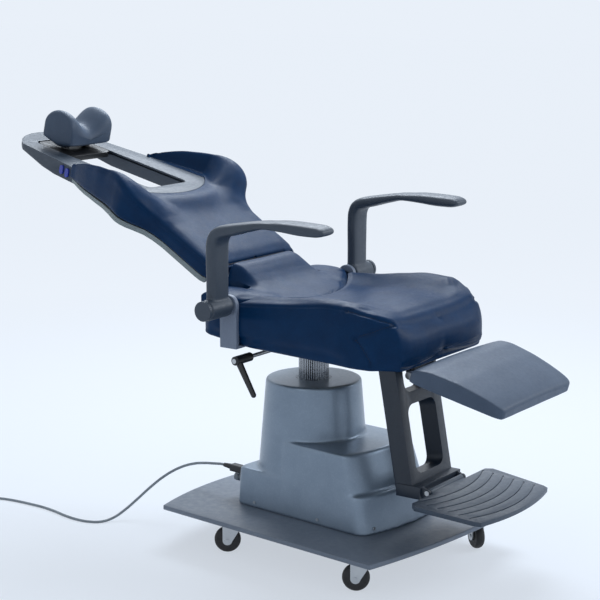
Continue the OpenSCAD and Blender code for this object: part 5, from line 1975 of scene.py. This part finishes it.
@dataclass(frozen=True)
class Armrest:
    """One armrest: a long moulding that rises from its pivot barrel, with a broad rounded tip.

    Attributes:
        side: 1 for the sitter's left, -1 for the right.
        centre: how far out its path is.
        pivot: the pivot's place, in X and Z about the column.
        reach: how far forward its path ends.
        top: height that the path's rises are shares of.
        thick: height of its section.
        wide: width of its section.
        barrel: radius of the barrel.
        barrel_from: how far out the barrel starts.
        barrel_long: its length.
        cap: radius, half width and depth of the line where the barrel's cap is let in.
        spans: the path's extent along and up, in millimetres, by which its points are spaced.
        rows: shares of the length, of the rise, and of the section's height and width.
    """

    side: int
    centre: float = 0.301
    pivot: tuple[float, float] = (-0.070, 0.638)
    reach: float = 0.248
    top: float = 0.862
    thick: float = 0.028
    wide: float = 0.067
    barrel: float = 0.025
    barrel_from: float = 0.2675
    barrel_long: float = 0.083
    cap: Point = (0.0165, 0.0012, 0.0009)
    spans: tuple[float, float] = (318, 224)
    rows: tuple[tuple[float, ...], ...] = (
        (0, 0.05, 1.07, 0.97), (0, 0.28, 1.07, 0.97), (0, 0.54, 1.07, 1), (0.003, 0.68, 1.1, 1),
        (0.025, 0.777, 1.12, 1), (0.075, 0.83, 1.07, 1), (0.17, 0.861, 1, 1), (0.33, 0.912, 0.8, 0.98),
        (0.475, 0.946, 0.65, 0.97), (0.616, 0.95, 0.84, 1), (0.8, 0.94, 1, 1), (0.92, 0.936, 0.94, 0.97),
        (0.975, 0.932, 0.66, 0.88), (1, 0.93, 0.3, 0.66),
    )

    def sweep(self) -> Skin:
        """The arm's skin, a rounded section carried along its path square to it.

        Returns:
            Vertices and faces.
        """
        rows = np.array(self.rows)
        run = distances(rows[:, :2] * self.spans)
        v = table(np.column_stack([run, rows]), np.linspace(0, run[-1], 90))
        x = self.pivot[0] + v[:, 0] * (self.reach - self.pivot[0]) + COLUMN_X
        z = self.pivot[1] + v[:, 1] * (self.top - self.pivot[1])
        way = unit(np.stack([np.gradient(x), 0 * x, np.gradient(z)], axis=1))
        up = np.stack([-way[:, 2], 0 * x, way[:, 0]], axis=1)
        square = rounded_square(3.4, 64)
        line = np.stack([x, 0 * x + self.side * self.centre, z], axis=1)
        tall = (v[:, 2] * self.thick / 2)[:, None, None] * square[None, :, 1:] * up[:, None]
        across = (v[:, 3] * self.wide / 2)[:, None, None] * square[None, :, :1] * np.array([0, 1.0, 0])
        return closed_skin(line[:, None] + tall + across, 4)

    def build(self) -> None:
        word = "left" if self.side > 0 else "right"
        r, end, soft, edge, voxel, rounds = self.barrel, self.barrel_long, 0.005, 0.0015, 0.0024, 6
        profile = [(0, r - soft), (edge, r - edge), (soft, r)]
        profile += [(end - soft, r), (end - edge, r - edge), (end, r - soft)]
        start = (self.pivot[0] + COLUMN_X, self.side * self.barrel_from, self.pivot[1])
        skins = [self.sweep(), lathe(profile, start, (0, self.side, 0), 64)]
        piece = united(mesh_piece(f"armrest_{word}_moulding", skins), voxel, rounds)
        piece.data.shade_smooth()
        self.part_line(piece.data)
        placed(piece, f"arm_{word}", "arm_plastic", f"armrest_{word}")

    def part_line(self, mesh: Mesh) -> None:
        """Presses a fine line into the barrel's outer face, where its cap is let in.

        Args:
            mesh: the united moulding's mesh.
        """
        radius, width, depth = self.cap
        reach, face_from, square_on = 0.0022, 0.34, 0.9
        co, normal = surface(mesh)
        away = np.hypot(co[:, 0] - self.pivot[0] - COLUMN_X, co[:, 2] - self.pivot[1])
        outer = (np.abs(normal[:, 1]) > square_on) & (self.side * co[:, 1] > face_from)
        near = outer & (np.abs(away - radius) < reach)
        move_points(mesh, co - normal * (depth * hump(away, radius, width) * near)[:, None])


@dataclass(frozen=True)
class BaseHousing:
    """Stepped, rounded base cover round the column: a tapering drum over three bowed blocks.

    Attributes:
        bottom: height of its foot.
        top: height of its upper rim.
        drum: radius of the drum at its rim.
        flare: how fast the drum widens downwards.
        half_at_plate: half width of the blocks at their foot.
        side_lean: how fast their sides lean in.
        soft: radius of their upper edges.
        blocks: each block's rear, upper height and bow, then its front's place, lean and level.
    """

    bottom: float = 0.098
    top: float = 0.420
    drum: float = 0.120
    flare: float = 0.0823
    half_at_plate: float = 0.149
    side_lean: float = 0.085
    soft: float = 0.006
    blocks: tuple[tuple[float, ...], ...] = (
        (-0.136, 0.192, 0.0, 0.213, 0.0, 0.0), (0.0, 0.283, 0.022, 0.213, 0.32, 0.283),
        (0.0, 0.189, 0.022, 0.281, 0.25, 0.098),
    )

    def block(self, rear: float, top: float, bow: float, front: float, lean: float, level: float) -> Skin:
        """One block of the cover, with rounded corners and a soft upper edge.

        Args:
            rear: place of its rear face.
            top: its upper height.
            bow: how far its front stands out in the middle.
            front: the front's place at a level.
            lean: how fast the front goes out below that level.
            level: that level.

        Returns:
            Vertices and faces.
        """
        rows, rim, squareness, around, bow_from = 24, top - self.soft, 14, 220, 0.2
        a = np.linspace(0, np.pi / 2, 7)[1:]
        z = np.concatenate([np.linspace(self.bottom, rim, rows), rim + self.soft * np.sin(a)])
        inset = np.concatenate([np.zeros(rows), self.soft * (1 - np.cos(a))])
        half = self.half_at_plate - self.side_lean * (z - self.bottom) - inset
        near, far = (rear + inset)[:, None], (front + lean * (level - z) - inset)[:, None]
        square = rounded_square(squareness, around)
        u, v = square[:, 0][None], square[:, 1][None]
        bowed = bow * (1 - v**2) * smooth((u + bow_from) / (1 + bow_from))
        x = (near + far) / 2 + (far - near) / 2 * u + bowed
        rings = np.stack([x, half[:, None] * v, np.broadcast_to(z[:, None], x.shape)], axis=-1)
        return closed_skin(rings, 10)

    def build(self) -> None:
        soft, edge, fall, voxel, rounds = 0.005, 0.0015, 0.0012, 0.0032, 7
        z = np.linspace(self.bottom, self.top - soft, 60)
        profile = np.stack([z, self.drum + self.flare * (self.top - z)], axis=1).tolist()
        profile += [(self.top - edge, self.drum - fall), (self.top, self.drum - soft)]
        skins = [lathe(profile, (0, 0, 0), (0, 0, 1), 160), *(self.block(*row) for row in self.blocks)]
        piece = united(mesh_piece("base_housing_moulding", skins), voxel, rounds)
        move_points(piece.data, turned(coordinates(piece.data)))
        piece.data.shade_smooth()
        placed(piece, "base", "housing_paint", "base_housing")


@dataclass(frozen=True)
class Machined:
    """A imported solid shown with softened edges.

    Attributes:
        node: the solid's name.
        bevel: width of the softened edges.
        finish: its finish, its record slot's own if left out.
        angle: edges sharper than this many degrees are softened.
        flat: faces that meet within this many degrees are joined first.
        crisp: edges sharper than this many degrees stay crisp.
    """

    node: str
    bevel: float
    finish: str = ""
    angle: float = 32.0
    flat: float = 0.6
    crisp: float = 28.0

    def build(self, packed: Object, body: str, slot: str) -> None:
        """Args:
            packed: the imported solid.
            body: its body.
            slot: its record slot.
        """
        mesh = packed.data.copy()
        piece = link(bpy.data.objects.new(self.node + "_made", mesh))
        mesh.materials.clear()
        if mesh.has_custom_normals:
            mesh.normals_split_custom_set_from_vertices([(0.0, 0.0, 0.0)] * len(mesh.vertices))
        heal(mesh, recalculate=False, flat=self.flat)
        modifier(
            piece, "BEVEL", width=self.bevel, segments=2, limit_method="ANGLE",
            angle_limit=math.radians(self.angle), harden_normals=False,
        )
        finished(piece)
        shade(piece.data, self.crisp)
        placed(piece, body, slot, self.node, finish=self.finish)


class Chair:
    """The whole chair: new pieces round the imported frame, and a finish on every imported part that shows."""

    MACHINED = (
        Machined("base_plate", 0.0022), Machined("leg_frame", 0.0035),
        Machined("footplate", 0.0014, "foot"), Machined("track_frame", 0.003),
        Machined("back_shell", 0.003, "shell"), Machined("arm_brackets", 0.0016),
        Machined("hinge_arms", 0.0012), Machined("calf_bracket", 0.0009),
        Machined("headrest_carriage", 0.0012), Machined("headrest_bracket", 0.0008),
        Machined("seat_frame", 0.0015),
    )
    PARTS = (
        BaseHousing(), Armrest(1), Armrest(-1), Upholstery("seat_cushion", "seat", SeatForm(), 0.0055),
        Upholstery("saddle_pad", "seat", SaddleForm(), 0.003),
        Upholstery("back_cushion", "back", BackForm(), 0.004), HEADREST, CALF_REST, PowerLead(),
    )

    def __init__(self, frame: dict) -> None:
        """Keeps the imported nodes, and the body and record slot of each.
        """
        self.nodes, record = frame["nodes"], frame["record"]
        self.body = {node: body for body, nodes in record["behaviour"]["bodies"].items() for node in nodes}
        self.slot = {part["node"]: part["material_slot"] for part in record["subparts"]}

    def build(self) -> None:
        """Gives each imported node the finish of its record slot, and makes every new piece."""
        for name, slot in self.slot.items():
            PAINT.dress(self.nodes[name], slot)
        for part in self.MACHINED:
            part.build(self.nodes[part.node], self.body[part.node], self.slot[part.node])
        for part in self.PARTS:
            part.build()


def main() -> None:
    """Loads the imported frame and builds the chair, the stage and the light around it."""
    logging.basicConfig(level=logging.INFO, format="%(relativeCreated)d ms: %(message)s")
    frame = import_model()
    Chair(frame).build()
    Studio().build()


if __name__ == "__main__":
    main()
